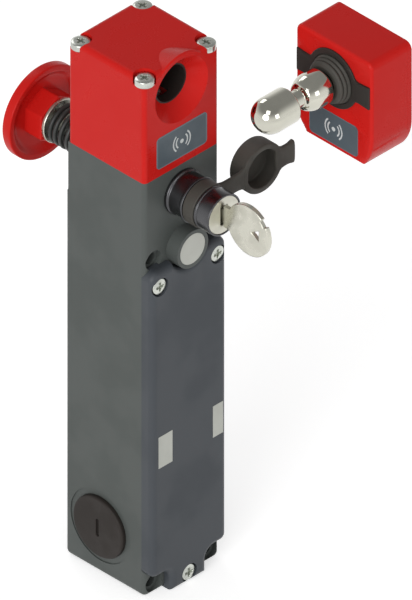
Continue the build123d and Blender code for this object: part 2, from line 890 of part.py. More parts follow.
with BuildPart() as board_posts:
    with BuildSketch(facing_front(-back_wall)):
        with Locations(*board_spots):
            Circle(post_r)
    extrude(amount=-back_wall - board_y)
board_posts.part.label = "board_posts"
export_step(board_posts.part, "parts/board_posts.step")

with BuildPart() as terminal_block:
    with BuildSketch(facing_front(-back_wall)):
        with Locations((0, terminal_bottom + terminal_h / 2)):
            RectangleRounded(terminal_w, terminal_h, soft_r)
    extrude(amount=terminal_d)
    with BuildSketch(facing_front(-back_wall - terminal_d)):
        with Locations((0, terminal_bottom + terminal_h / 2)):
            with GridLocations(terminal_w / terminal_ways, terminal_h / 2, terminal_ways, 2):
                Circle(terminal_hole_r)
    extrude(amount=-terminal_d / 2, mode=Mode.SUBTRACT)
terminal_block.part.label = "terminal_block"
export_step(terminal_block.part, "parts/terminal_block.step")

# Blanking plug under the lock
with BuildPart() as blanking_plug:
    with BuildSketch(facing_front(plug_face)):
        with Locations((0, disc_boss_z)):
            Circle(plug_head_r)
    extrude(amount=-plug_head_t)
    with BuildSketch(facing_front(plug_face)):
        with Locations((0, disc_boss_z)):
            Circle(plug_stem_r)
    extrude(amount=-(plug_head_t + plug_stem_len))
blanking_plug.part.label = "blanking_plug"
export_step(blanking_plug.part, "parts/blanking_plug.step")

# Cable entry plugs, left and right, and their sealing rings
for side, name in ((-1, "cable_plug_left"), (1, "cable_plug_right")):
    spot = side * (body_w / 2 - cable_spot_depth)
    with BuildPart() as cable_plug:
        with BuildSketch(Plane.YZ.offset(spot)):
            with Locations((cable_y, cable_z)):
                Circle(plug_r)
        extrude(amount=side * plug_rise)
        outer = cable_plug.faces().sort_by(Axis.X)[-1 if side > 0 else 0].edges()
        chamfer(outer, length=soft_r)
        with BuildSketch(Plane.YZ.offset(spot)):
            with Locations((cable_y, cable_z)):
                Circle(cable_r)
        extrude(amount=-side * plug_thread_len)
        with BuildSketch(Plane.YZ.offset(spot)):
            with Locations((cable_y, cable_z)):
                Circle(cable_r - 2 * oring_r)
        extrude(amount=-side * plug_thread_len, mode=Mode.SUBTRACT)
        with BuildSketch(Plane.YZ.offset(spot)):
            with Locations((cable_y, cable_z)):
                Circle(cable_r + 2 * oring_r)
                Circle(cable_r, mode=Mode.SUBTRACT)
        extrude(amount=side * oring_r, mode=Mode.SUBTRACT)
        with BuildSketch(Plane.YZ.offset(spot + side * plug_rise)):
            with Locations((cable_y, cable_z)):
                SlotOverall(plug_slot_l, plug_slot_w, rotation=90)
        extrude(amount=-side * plug_slot_d, mode=Mode.SUBTRACT)
    cable_plug.part.label = name
    export_step(cable_plug.part, "parts/" + name + ".step")

with BuildPart() as plug_seals:
    for side in (-1, 1):
        spot = side * (body_w / 2 - cable_spot_depth)
        with BuildSketch(Plane.YZ.offset(spot)):
            with Locations((cable_y, cable_z)):
                Circle(cable_r + 2 * oring_r)
                Circle(cable_r, mode=Mode.SUBTRACT)
        extrude(amount=side * oring_r)
plug_seals.part.label = "plug_seals"
export_step(plug_seals.part, "parts/plug_seals.step")

# Rear collar of the lock, stepped at both ends
bezel_front = front - bezel_len
with BuildPart() as lock_bezel:
    with BuildSketch(lock_plane):
        with BuildLine():
            Polyline(
                (front, barrel_r),
                (front, bezel_r),
                (front - bezel_rim, bezel_r),
                (front - bezel_rim, bezel_r - bezel_step),
                (bezel_front + bezel_rim, bezel_r - bezel_step),
                (bezel_front + bezel_rim, bezel_r),
                (bezel_front, bezel_r),
                (bezel_front, barrel_r),
                close=True,
            )
        make_face()
    revolve(axis=lock_axis)
lock_bezel.part.label = "lock_bezel"
export_step(lock_bezel.part, "parts/lock_bezel.step")

# Rubber strap: a ring clamped on the barrel and a flat tongue towards the cap
barrel_head_back = lock_face + barrel_head_len
with BuildPart() as cap_strap:
    with BuildSketch(facing_front(cap_rim + strap_t)):
        with Locations((strap_end / 2, lock_z)):
            Rectangle(strap_end, strap_h)
    extrude(amount=strap_t)
    with BuildSketch(facing_front(bezel_front - strap_ring_gap)):
        with Locations((0, lock_z)):
            Circle(strap_ring_r)
    extrude(amount=bezel_front - barrel_head_back - 2 * strap_ring_gap)
    with BuildSketch(facing_front(bezel_front)):
        with Locations((0, lock_z)):
            Circle(barrel_r)
    extrude(amount=bezel_front - barrel_head_back, mode=Mode.SUBTRACT)
cap_strap.part.label = "cap_strap"
export_step(cap_strap.part, "parts/cap_strap.step")

# Lock barrel with its head, and the nut behind the front wall
flange_back = lock_face + core_sink + core_flange_t
with BuildPart() as lock_barrel:
    with BuildSketch(lock_plane):
        with BuildLine():
            Polyline(
                (lock_face, core_flange_r + running_gap),
                (lock_face, barrel_head_r - soft_r / 2),
                (lock_face + soft_r / 2, barrel_head_r),
                (barrel_head_back, barrel_head_r),
                (barrel_head_back, barrel_r),
                (barrel_tail, barrel_r),
                (barrel_tail, core_r + running_gap),
                (flange_back + axial_gap, core_r + running_gap),
                (flange_back + axial_gap, core_flange_r + running_gap),
                close=True,
            )
        make_face()
    revolve(axis=lock_axis)
lock_barrel.part.label = "lock_barrel"
export_step(lock_barrel.part, "parts/lock_barrel.step")

with BuildPart() as lock_nut:
    with BuildSketch(facing_front(upper_front + nut_t)):
        with Locations((0, lock_z)):
            RegularPolygon(radius=nut_across / 2, side_count=6, major_radius=False)
            Circle(barrel_r, mode=Mode.SUBTRACT)
    extrude(amount=nut_t)
lock_nut.part.label = "lock_nut"
export_step(lock_nut.part, "parts/lock_nut.step")

# Core with its keyway, the cam on its tail and the nut that holds the cam
core_end = barrel_tail + axial_gap
with BuildPart() as lock_core:
    with BuildSketch(lock_plane):
        with BuildLine():
            Polyline(
                (lock_face + core_sink, 0),
                (lock_face + core_sink, core_flange_r),
                (flange_back, core_flange_r),
                (flange_back, core_r),
                (core_end, core_r),
                (core_end, core_tail_r),
                (core_end + core_tail_len, core_tail_r),
                (core_end + core_tail_len, 0),
                close=True,
            )
        make_face()
    revolve(axis=lock_axis)
    with BuildSketch(facing_front(lock_face)):
        with Locations((0, lock_z)):
            Rectangle(key_t + 2 * keyway_gap, key_blade_h + 2 * keyway_gap)
    extrude(amount=-(key_blade_len + keyway_end_gap), mode=Mode.SUBTRACT)
lock_core.part.label = "lock_core"
export_step(lock_core.part, "parts/lock_core.step")

with BuildPart() as lock_cam:
    with BuildSketch(facing_front(core_end + cam_t)):
        with Locations((0, lock_z)):
            Circle(cam_hub_r)
        with Locations((cam_reach / 2, lock_z)):
            Rectangle(cam_reach, cam_w)
        with Locations((0, lock_z)):
            Circle(core_tail_r, mode=Mode.SUBTRACT)
    extrude(amount=cam_t)
    chamfer(lock_cam.faces().sort_by(Axis.X)[-1].edges().filter_by(Axis.Y), length=soft_r)
lock_cam.part.label = "lock_cam"
export_step(lock_cam.part, "parts/lock_cam.step")

with BuildPart() as cam_nut:
    with BuildSketch(facing_front(core_end + cam_t + cam_nut_t)):
        with Locations((0, lock_z)):
            RegularPolygon(radius=cam_nut_r, side_count=6, major_radius=False)
            Circle(core_tail_r, mode=Mode.SUBTRACT)
    extrude(amount=cam_nut_t)
cam_nut.part.label = "cam_nut"
export_step(cam_nut.part, "parts/cam_nut.step")

# Flat key: cut blade, neck and round bow with a hanging hole and a nick
bow_y = lock_face - key_bow_off
with BuildPart() as key:
    with BuildSketch(Plane.YZ.offset(-key_t / 2)):
        with Locations((lock_face - axial_gap + key_blade_len / 2, lock_z)):
            Rectangle(key_blade_len, key_blade_h)
        with Locations(((bow_y + lock_face - axial_gap) / 2, lock_z)):
            Rectangle(key_bow_off - axial_gap, key_neck_h)
        with Locations((bow_y, lock_z)):
            Circle(key_bow_r)
        with Locations((bow_y - key_hole_off, lock_z)):
            RegularPolygon(radius=key_hole_across / 2, side_count=3, mode=Mode.SUBTRACT)
        nick = (
            bow_y + key_bow_r * cos(radians(key_notch_angle)),
            lock_z + key_bow_r * sin(radians(key_notch_angle)),
        )
        with Locations(nick):
            Rectangle(key_notch, key_notch, rotation=key_notch_angle, mode=Mode.SUBTRACT)
        blade_tip = lock_face - axial_gap + key_blade_len
        for cut in range(key_cuts):
            with Locations((blade_tip - key_cut_pitch * (cut + 1), lock_z - key_blade_h / 2)):
                Rectangle(
                    key_cut_depth * 2 ** 0.5, key_cut_depth * 2 ** 0.5, rotation=45, mode=Mode.SUBTRACT
                )
    extrude(amount=key_t)
key.part.label = "key"
export_step(key.part, "parts/key.step")

# Rubber dust cap with its strap stub, grip tab and bead
with BuildPart() as dust_cap:
    with BuildSketch(facing_front(cap_rim + strap_t)):
        with Locations(((strap_end + cap_gap + cap_x) / 2, lock_z)):
            Rectangle(cap_x - strap_end - cap_gap, strap_h)
    extrude(amount=strap_t)
    with BuildSketch(facing_front(cap_rim + tab_t)):
        with Locations(((cap_x + tab_reach + bead_r) / 2, lock_z)):
            Rectangle(tab_reach + bead_r - cap_x, tab_h)
    extrude(amount=tab_t)
    with BuildSketch(facing_front(cap_rim + cap_depth)):
        with Locations((cap_x, lock_z)):
            Circle(cap_out_r)
    extrude(amount=cap_depth)
    closed_end = dust_cap.faces().sort_by(Axis.Y)[-1].edges()
    fillet(closed_end, radius=cap_edge_r)
    with BuildSketch(Plane.XY.offset(lock_z - bead_h / 2)):
        with Locations((tab_reach + bead_r, cap_rim + bead_r)):
            Circle(bead_r)
    extrude(amount=bead_h)
    with BuildSketch(facing_front(cap_rim + cap_depth - cap_floor)):
        with Locations((cap_x, lock_z)):
            Circle(cap_in_r)
    extrude(amount=cap_depth - cap_floor, mode=Mode.SUBTRACT)
dust_cap.part.label = "dust_cap"
export_step(dust_cap.part, "parts/dust_cap.step")

# Flanged bush of the escape button in the rear wall
with BuildPart() as button_bush:
    with BuildSketch(lock_plane):
        with BuildLine():
            Polyline(
                (upper_rear, shaft_r + running_gap),
                (upper_rear, bush_r),
                (upper_back, bush_r),
                (upper_back, bush_flange_r),
                (upper_back + bush_flange_t, bush_flange_r),
                (upper_back + bush_flange_t, shaft_r + running_gap),
                close=True,
            )
        make_face()
    revolve(axis=lock_axis)
button_bush.part.label = "button_bush"
export_step(button_bush.part, "parts/button_bush.step")

# Return spring of the escape button
with BuildPart() as button_spring:
    coil_from = upper_back + bush_flange_t + spring_wire + spring_seat_gap
    coil_to = washer_y - spring_wire - spring_seat_gap
    with BuildLine() as button_coil:
        Helix(
            pitch=(coil_to - coil_from) / spring_turns,
            height=coil_to - coil_from,
            radius=spring_r,
            center=(0, coil_from, lock_z),
            direction=(0, 1, 0),
        )
    with BuildSketch(Plane(button_coil.line @ 0, z_dir=button_coil.line % 0)):
        Circle(spring_wire)
    sweep(is_frenet=True)
button_spring.part.label = "button_spring"
export_step(button_spring.part, "parts/button_spring.step")

# Shaft, washer and mushroom of the escape button
hub_front = washer_y + washer_t
shaft_end = hub_front + hub_len
with BuildPart() as button_shaft:
    with BuildSketch(lock_plane):
        with BuildLine():
            Polyline(
                (shaft_tip, 0),
                (shaft_tip, shaft_r / 2),
                (shaft_tip + shaft_cone, shaft_r),
                (shaft_end, shaft_r),
                (shaft_end, 0),
                close=True,
            )
        make_face()
    revolve(axis=lock_axis)
button_shaft.part.label = "button_shaft"
export_step(button_shaft.part, "parts/button_shaft.step")

with BuildPart() as button_washer:
    with BuildSketch(facing_front(hub_front)):
        with Locations((0, lock_z)):
            Circle(washer_r)
            Circle(shaft_r, mode=Mode.SUBTRACT)
    extrude(amount=washer_t)
button_washer.part.label = "button_washer"
export_step(button_washer.part, "parts/button_washer.step")

dome_r = (mushroom_r ** 2 + dome_h ** 2) / (2 * dome_h)
dome_drop = dome_r - (dome_r ** 2 - (mushroom_r / 2) ** 2) ** 0.5
dome_middle = (rim_y + rim_t + dome_h - dome_drop, mushroom_r / 2)
with BuildPart() as escape_button:
    with BuildSketch(lock_plane):
        with BuildLine():
            Polyline(
                (rim_y + rim_t + dome_h, 0),
                (rim_y + dish_depth, 0),
                (rim_y + dish_depth, mushroom_r - 2 * mushroom_wall),
                (rim_y, mushroom_r - mushroom_wall),
                (rim_y, mushroom_r - soft_r),
                (rim_y + soft_r, mushroom_r),
                (rim_y + rim_t, mushroom_r),
            )
            ThreePointArc((rim_y + rim_t, mushroom_r), dome_middle, (rim_y + rim_t + dome_h, 0))
        make_face()
    revolve(axis=lock_axis)
    with BuildSketch(facing_front(rim_y + dish_depth)):
        with Locations((0, lock_z)):
            RegularPolygon(radius=hub_across / 2, side_count=6, major_radius=False)
    extrude(amount=rim_y + dish_depth - hub_front)
    with BuildSketch(facing_front(shaft_end)):
        with Locations((0, lock_z)):
            Circle(shaft_r)
    extrude(amount=hub_len, mode=Mode.SUBTRACT)
escape_button.part.label = "escape_button"
export_step(escape_button.part, "parts/escape_button.step")

# Outline of the actuator's block: stepped in at both lower corners
with BuildSketch(Plane.YZ) as act_outline:
    with Locations((act_y, (act_top + act_bottom) / 2)):
        Rectangle(act_w, act_top - act_bottom)
    for side in (-1, 1):
        with Locations((act_y + side * (act_w - act_cut_w) / 2, act_bottom + act_cut_h / 2)):
            Rectangle(act_cut_w, act_cut_h, mode=Mode.SUBTRACT)
    fillet(act_outline.vertices().group_by(Axis.Y)[-1], radius=act_corner_r)
    steps = [v for v in act_outline.vertices() if abs(v.Y - act_bottom - act_cut_h) < soft_r]
    fillet([v for v in steps if abs(v.X - act_y) < act_w / 2 - soft_r], radius=act_cut_r)

# Block of the actuator, hollow from the back, with two tapped pillars
plate_face = act_back - plate_t
act_boss_spots = [(act_y + side * act_hole_pitch / 2, act_hole_z) for side in (-1, 1)]
with BuildPart() as actuator_housing:
    with BuildSketch(Plane.YZ.offset(act_face)):
        add(act_outline.sketch_local)
    extrude(amount=plate_face - act_face)
    act_rim = actuator_housing.faces().sort_by(Axis.X)[0].edges()
    fillet(act_rim, radius=act_edge_r)
    with BuildSketch(Plane.YZ.offset(act_face + act_wall)):
        add(act_outline.sketch_local)
        offset(amount=-act_wall)
    extrude(amount=plate_face - act_face - act_wall, mode=Mode.SUBTRACT)
    with BuildSketch(Plane.YZ.offset(act_face + act_wall)):
        with Locations(*act_boss_spots):
            Circle(act_boss_r)
    extrude(amount=plate_face - act_face - act_wall)
    with BuildSketch(Plane.YZ.offset(act_back)):
        with Locations(*act_boss_spots):
            Circle(act_hole_r)
    extrude(amount=-act_hole_depth, mode=Mode.SUBTRACT)
    with BuildSketch(Plane.YZ.offset(act_face)):
        with Locations((act_y, socket_z)):
            Circle(act_bore_r)
    extrude(amount=act_wall, mode=Mode.SUBTRACT)
    # recesses of the band and of the label plate
    with BuildSketch(Plane.YZ.offset(act_face)) as band_shape:
        with Locations((act_y, socket_z)):
            Circle(band_ring_r)
        wing_end = act_w / 2 - band_inset
        for side in (-1, 1):
            with BuildLine():
                Polyline(
                    (act_y, socket_z - band_waist_h / 2),
                    (act_y + side * wing_end, socket_z - band_wing_h / 2),
                    (act_y + side * wing_end, socket_z + band_wing_h / 2),
                    (act_y, socket_z + band_waist_h / 2),
                    close=True,
                )
            make_face()
        with Locations((act_y, socket_z)):
            Circle(act_bore_r, mode=Mode.SUBTRACT)
    extrude(amount=band_t - band_proud, mode=Mode.SUBTRACT)
    with BuildSketch(Plane.YZ.offset(act_face)):
        with Locations((act_y, act_label_z)):
            RectangleRounded(act_label_w, act_label_h, label_r)
    extrude(amount=label_t - label_proud, mode=Mode.SUBTRACT)
actuator_housing.part.label = "actuator_housing"
export_step(actuator_housing.part, "parts/actuator_housing.step")

with BuildPart() as actuator_plate:
    with BuildSketch(Plane.YZ.offset(plate_face)):
        add(act_outline.sketch_local)
        with Locations(*act_boss_spots):
            Circle(act_hole_r, mode=Mode.SUBTRACT)
    extrude(amount=plate_t)
actuator_plate.part.label = "actuator_plate"
export_step(actuator_plate.part, "parts/actuator_plate.step")

with BuildPart() as actuator_band:
    with BuildSketch(Plane.YZ.offset(act_face - band_proud)):
        add(band_shape.sketch_local)
    extrude(amount=band_t)
actuator_band.part.label = "actuator_band"
export_step(actuator_band.part, "parts/actuator_band.step")

with BuildPart() as actuator_label:
    with BuildSketch(Plane.YZ.offset(act_face - label_proud)):
        with Locations((act_y, act_label_z)):
            RectangleRounded(act_label_w, act_label_h, label_r)
    extrude(amount=label_t)
actuator_label.part.label = "actuator_label"
export_step(actuator_label.part, "parts/actuator_label.step")

with BuildPart() as transponder_tag:
    with BuildSketch(Plane.YZ.offset(act_face + act_wall)):
        with Locations((act_y, act_label_z)):
            Circle(tag_r)
    extrude(amount=tag_t)
transponder_tag.part.label = "transponder_tag"
export_step(transponder_tag.part, "parts/transponder_tag.step")

# Rubber boot round the pin's shaft: rings that taper towards the nose
boot_nose = act_face - boot_proud
ring_pitch = (boot_proud - band_proud) / boot_rings
boot_points = [(boot_nose, pin_shaft_r + running_gap)]
for ring in range(boot_rings):
    ring_x = boot_nose + ring * ring_pitch
    ring_r = boot_nose_r + (act_bore_r - boot_nose_r) * ring / boot_rings
    boot_points.append((ring_x, ring_r))
    boot_points.append((ring_x + ring_pitch * ring_share, ring_r))
    boot_points.append((ring_x + ring_pitch * ring_share, ring_r - boot_groove))
    boot_points.append((ring_x + ring_pitch, ring_r - boot_groove))
boot_points.append((act_face - band_proud, act_bore_r))
boot_points.append((act_face + act_wall, act_bore_r))
boot_points.append((act_face + act_wall, boot_inner))
boot_points.append((boot_nose + boot_lip, boot_inner))
boot_points.append((boot_nose + boot_lip, pin_shaft_r + running_gap))
with BuildPart() as actuator_boot:
    with BuildSketch(act_plane):
        with BuildLine():
            Polyline(*boot_points, close=True)
        make_face()
    revolve(axis=act_axis)
actuator_boot.part.label = "actuator_boot"
export_step(actuator_boot.part, "parts/actuator_boot.step")

# Pin: ball tip, narrow neck, second barrel, shaft and the flange inside the block
with BuildPart() as actuator_pin:
    with BuildSketch(act_plane):
        with BuildLine():
            ThreePointArc(
                (pin_tip, 0),
                (pin_tip + pin_r * (1 - cos(radians(45))), pin_r * sin(radians(45))),
                (pin_tip + pin_r, pin_r),
            )
            Polyline(
                (pin_tip + pin_r, pin_r),
                (pin_body_end - pin_edge, pin_r),
                (pin_body_end, pin_r - pin_edge),
                (pin_body_end, pin_neck_r),
                (pin_neck_end, pin_neck_r),
                (pin_neck_end, pin_r - pin_edge),
                (pin_neck_end + pin_edge, pin_r),
                (pin_barrel_end - pin_edge, pin_r),
                (pin_barrel_end, pin_r - pin_edge),
                (pin_barrel_end, pin_shaft_r),
                (pin_flange_x, pin_shaft_r),
                (pin_flange_x, pin_flange_r),
                (pin_flange_x + pin_flange_t, pin_flange_r),
                (pin_flange_x + pin_flange_t, pin_shaft_r),
                (pin_end, pin_shaft_r),
                (pin_end, 0),
                (pin_tip, 0),
            )
        make_face()
    revolve(axis=act_axis)
actuator_pin.part.label = "actuator_pin"
export_step(actuator_pin.part, "parts/actuator_pin.step")
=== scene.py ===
"""Finish of the guard locking switch: smooth surfaces, materials, light and camera.

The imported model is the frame. Lengths are written in millimetres, in the part's
own axes, and become metres when a mesh is made.
"""
import json
from math import pi, radians

import bmesh
import bpy
import numpy as np
from bpy.props import FloatProperty, FloatVectorProperty, PointerProperty
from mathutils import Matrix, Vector


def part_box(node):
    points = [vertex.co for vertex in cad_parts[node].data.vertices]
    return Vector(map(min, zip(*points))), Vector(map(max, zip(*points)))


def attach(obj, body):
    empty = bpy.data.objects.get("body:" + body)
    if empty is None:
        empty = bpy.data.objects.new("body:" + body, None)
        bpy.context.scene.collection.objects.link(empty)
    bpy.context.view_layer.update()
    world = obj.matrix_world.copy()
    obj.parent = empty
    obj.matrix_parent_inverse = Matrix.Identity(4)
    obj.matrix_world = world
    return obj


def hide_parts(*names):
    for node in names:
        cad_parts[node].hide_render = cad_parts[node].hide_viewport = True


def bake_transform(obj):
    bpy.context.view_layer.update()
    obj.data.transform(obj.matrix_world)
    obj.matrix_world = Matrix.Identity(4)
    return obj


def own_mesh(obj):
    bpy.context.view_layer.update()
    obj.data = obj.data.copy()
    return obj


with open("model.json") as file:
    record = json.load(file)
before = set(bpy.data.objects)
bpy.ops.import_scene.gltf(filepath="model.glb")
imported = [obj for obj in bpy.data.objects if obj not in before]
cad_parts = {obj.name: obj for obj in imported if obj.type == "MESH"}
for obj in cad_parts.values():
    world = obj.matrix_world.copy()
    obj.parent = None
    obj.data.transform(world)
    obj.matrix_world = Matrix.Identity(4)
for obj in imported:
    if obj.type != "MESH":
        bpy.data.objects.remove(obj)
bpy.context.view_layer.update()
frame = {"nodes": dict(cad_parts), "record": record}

bl_info = {
    "name": "Guard Locking Switch Finish",
    "version": (1, 0, 0),
    "blender": (4, 5, 0),
    "location": "3D View > Sidebar > Guard Switch",
    "description": "Dresses the guard locking switch with smooth pieces and materials",
    "category": "Object",
}

MM = 0.001
WELD = 2e-6
LOCK = (0.0, 0.0, 100.0)
ACTUATOR = (0.0, -78.0, 147.0)
CAP = (32.0, 0.0, 100.0)
PLUG = (0.0, 0.0, 75.8)
HEAD_SCREWS = [(sx * 16.6, -22.0 + sy * 17.1) for sx in (-1, 1) for sy in (-1, 1)]
COVER_SCREWS = [(-15.5, 64.8), (15.5, 64.8), (0.0, -75.7)]
HEAD_SCREW_SEAT = 156.5
COVER_SCREW_SEAT = -44.3
STRAP_LINE = (0.0, -53.6, 100.0)
FLOOR = -80.2
SHARP = radians(38)
TO_MILLIMETRES = (1000.0, 1000.0, 1000.0)
ARC_RADII = (3.0, 4.5)
ARC_HALF_LINE = 0.33
ARC_SLOPE = 1.15
DOT_RADIUS = 0.95
LABEL_PRINT = {"Half Width": 13.2, "Half Height": 7.1, "Border": 0.35}
PANELS = (
    ("panel_back", (0.180, 0.760, 0.627)),
    ("panel_camera", (-0.569, -0.345, 0.748)),
    ("panel_right", (0.008, -0.940, 0.331)),
)
SLOTS = {row["node"]: row["material_slot"] for row in frame["record"]["subparts"]}


def colour(name, text, value):
    """Colour property; its values are linear."""
    return FloatVectorProperty(
        name=name, description=text, subtype="COLOR", size=3, min=0.0, max=1.0, default=value
    )


def measure(name, text, value, least=0.0):
    """Length property, in metres."""
    return FloatProperty(
        name=name, description=text, default=value, min=least, unit="LENGTH", precision=5
    )


class GuardSwitchColours(bpy.types.PropertyGroup):
    """Colours of the finishes, as linear values"""

    casting: colour("Casting", "Painted body casting", (0.080, 0.089, 0.084))
    cover: colour("Cover", "Painted front cover", (0.058, 0.065, 0.074))
    red_plastic: colour("Red plastic", "Head, actuator and release button", (0.600, 0.014, 0.011))
    dark_plastic: colour("Dark plastic", "Plugs, band and liner", (0.030, 0.025, 0.022))
    label: colour("Label", "Plates on the head and on the actuator", (0.085, 0.110, 0.128))
    mark: colour("Mark", "Printed radio wave mark", (0.60, 0.63, 0.63))
    pale_plastic: colour("Pale plastic", "Blanking disc and windows", (0.55, 0.56, 0.51))
    zinc_steel: colour("Zinc steel", "Screws and inner steel", (0.60, 0.62, 0.57))
    nickel: colour("Nickel", "Key, lock face and pin", (0.62, 0.61, 0.53))
    dark_chrome: colour("Dark chrome", "Collars of the lock", (0.10, 0.10, 0.105))
    rubber: colour("Rubber", "Cap, strap and boot", (0.060, 0.056, 0.048))
    spring_black: colour("Black spring", "Spring of the release button", (0.022, 0.024, 0.022))
    copper_winding: colour("Winding", "Copper of the solenoid", (0.50, 0.20, 0.08))
    board_green: colour("Board", "Circuit boards", (0.02, 0.15, 0.06))
    brass: colour("Brass", "Nuts and posts", (0.60, 0.42, 0.15))


class GuardSwitchSizes(bpy.types.PropertyGroup):
    """Sizes of the soft edges, of the release spring and of the screws' recess"""

    rim: measure("Rim rounding", "Cut taken off a turned edge", 0.00035)
    soft_edge: measure("Soft edge", "Width of the bevel on flat pieces", 0.0003)
    spring_wire: measure("Spring wire", "Radius of the release spring's wire", 0.00105, 0.0005)
    spring_radius: measure("Spring radius", "Middle radius of the release spring", 0.00775, 0.002)
    spring_length: measure(
        "Spring length", "Length of the release spring at rest",
        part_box("button_spring")[1][1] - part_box("button_spring")[0][1], 0.005,
    )
    recess: measure("Screw recess", "Depth of the cross recess", 0.0011)


class GuardSwitchLight(bpy.types.PropertyGroup):
    """Levels of the studio light"""

    ambient: FloatProperty(
        name="Ambient", description="Even light from the surroundings", default=0.55, min=0.0,
        subtype="FACTOR",
    )
    side_sun: FloatProperty(
        name="Side light", description="Soft light from the left", default=1.55, min=0.0, unit="NONE",
    )
    panel: FloatProperty(
        name="Panels", description="Power of each soft panel", default=0.8, min=0.0, unit="POWER",
    )
    white_lift: FloatProperty(
        name="White floor", description="Glow that makes the open floor white", default=0.56, min=0.0,
        subtype="FACTOR",
    )


# Shapes: profiles, grids and meshes

def soften(corners, cut, steps=6):
    """Rounds a line's inner corners. Each corner P becomes the parabola
    (1-s)^2 A + 2 s (1-s) P + s^2 B, where A and B lie the cut away on its two sides,
    at most half a side away. The two ends of the line stay where they are."""
    corners = np.asarray(corners, float)
    cut = np.broadcast_to(np.asarray(cut, float), len(corners)).copy()
    cut[[0, -1]] = 0.0
    back = np.roll(corners, 1, axis=0) - corners
    ahead = np.roll(corners, -1, axis=0) - corners
    back_length = np.maximum(np.linalg.norm(back, axis=1), 1e-9)
    ahead_length = np.maximum(np.linalg.norm(ahead, axis=1), 1e-9)
    reach = np.minimum(cut, 0.49 * np.minimum(back_length, ahead_length))
    start = corners + back * (reach / back_length)[:, None]
    end = corners + ahead * (reach / ahead_length)[:, None]
    s = np.linspace(0.0, 1.0, steps)[None, :, None]
    curve = (1 - s) ** 2 * start[:, None] + 2 * s * (1 - s) * corners[:, None] + s**2 * end[:, None]
    return curve.reshape(-1, 2)


def around(columns):
    """Angles of one full turn, without the last, which is the first again."""
    return np.linspace(0.0, 2 * pi, columns, endpoint=False)


def placed(along, first, second, axis, centre):
    """Points from their place along the axis and in the two directions across it."""
    order = {"X": (along, first, second), "Y": (first, along, second), "Z": (first, second, along)}[axis]
    return np.stack(order, axis=-1) + np.asarray(centre, float)


def turned(profile, centre, axis, columns=120, shape=None):
    """Surface of revolution: profile point (a, r) becomes the ring that stands at a on the
    axis, at the distance r times shape(t) from it, where t runs once round."""
    profile = np.asarray(profile, float)
    t = around(columns)
    factor = np.ones(columns) if shape is None else shape
    factor = np.broadcast_to(factor, (len(profile), columns))
    along = np.repeat(profile[:, :1], columns, axis=1)
    first = profile[:, 1:2] * factor * np.cos(t)
    second = profile[:, 1:2] * factor * np.sin(t)
    return placed(along, first, second, axis, centre)


def carried(stations, half_height, half_width, centre, columns=48, power=4.0):
    """Tube along X: at each station x the section is the superellipse
    |y / half width|^power + |z / half height|^power = 1, and both ends close to a point."""
    t = around(columns)
    across = np.sign(np.cos(t)) * np.abs(np.cos(t)) ** (2 / power)
    up = np.sign(np.sin(t)) * np.abs(np.sin(t)) ** (2 / power)
    x = np.repeat(stations[:, None], columns, axis=1)
    y = half_width[:, None] * across
    z = half_height[:, None] * up
    return np.stack((x, y, z), axis=-1) + np.asarray(centre, float)


def coil(low, length, radius, wire, turns, centre, axis):
    """Helix tube: the wire's middle goes round at the radius, and rises by the share
    u - 0.2 sin(2 pi u) / (2 pi) of the way, so that the end turns lie closer. A circle of
    the wire's radius goes along it and shrinks to a point at both ends."""
    u = np.linspace(0.0, 1.0, int(turns * 48))
    u = np.concatenate(([0.0], u, [1.0]))
    size = np.concatenate(([0.0], np.full(len(u) - 2, wire), [0.0]))[:, None]
    angle = (2 * pi * turns * u)[:, None]
    rise = low + wire + (length - 2 * wire) * (u - 0.2 * np.sin(2 * pi * u) / (2 * pi))[:, None]
    t = around(20)
    reach = radius + size * np.cos(t)
    return placed(rise + size * np.sin(t), reach * np.cos(angle), reach * np.sin(angle), axis, centre)


def surface_mesh(name, sheets):
    """Turns grids of points into one mesh. A sheet is (points, rows joined, columns joined);
    neighbouring points make one quad, points on one spot are merged, faces look outward."""
    points, faces, count = [], [], 0
    for grid, rows_joined, columns_joined in sheets:
        rows, columns = grid.shape[:2]
        i, j = np.meshgrid(
            np.arange(rows if rows_joined else rows - 1),
            np.arange(columns if columns_joined else columns - 1),
            indexing="ij",
        )
        near, far = i * columns, (i + 1) % rows * columns
        left, right = j, (j + 1) % columns
        quads = np.stack((near + left, near + right, far + right, far + left), axis=-1)
        faces.append(quads.reshape(-1, 4) + count)
        points.append(grid.reshape(-1, 3) * MM)
        count += rows * columns
    mesh = bpy.data.meshes.new(name)
    mesh.from_pydata(np.concatenate(points).tolist(), [], np.concatenate(faces).tolist())
    return tidied(mesh)


def tidied(mesh, flat_angle=None):
    """Merges doubled points, turns the faces outward and shades all but sharp edges smooth."""
    shape = bmesh.new()
    shape.from_mesh(mesh)
    bmesh.ops.remove_doubles(shape, verts=shape.verts, dist=WELD)
    if flat_angle:
        bmesh.ops.dissolve_limit(shape, angle_limit=flat_angle, verts=shape.verts, edges=shape.edges)
    bmesh.ops.recalc_face_normals(shape, faces=shape.faces)
    shape.to_mesh(mesh)
    shape.free()
    mesh.polygons.foreach_set("use_smooth", np.ones(len(mesh.polygons), bool))
    mesh.set_sharp_from_angle(angle=SHARP)
    return mesh


def add_piece(context, name, mesh, material, slot, body, *nodes):
    """Puts a mesh into the scene with its finish, in place of the CAD nodes it stands for."""
    mesh.materials.clear()
    mesh.materials.append(material)
    piece = bpy.data.objects.new(name, mesh)
    context.scene.collection.objects.link(piece)
    if nodes:
        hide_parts(*nodes)
    if body:
        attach(piece, body)
    return piece


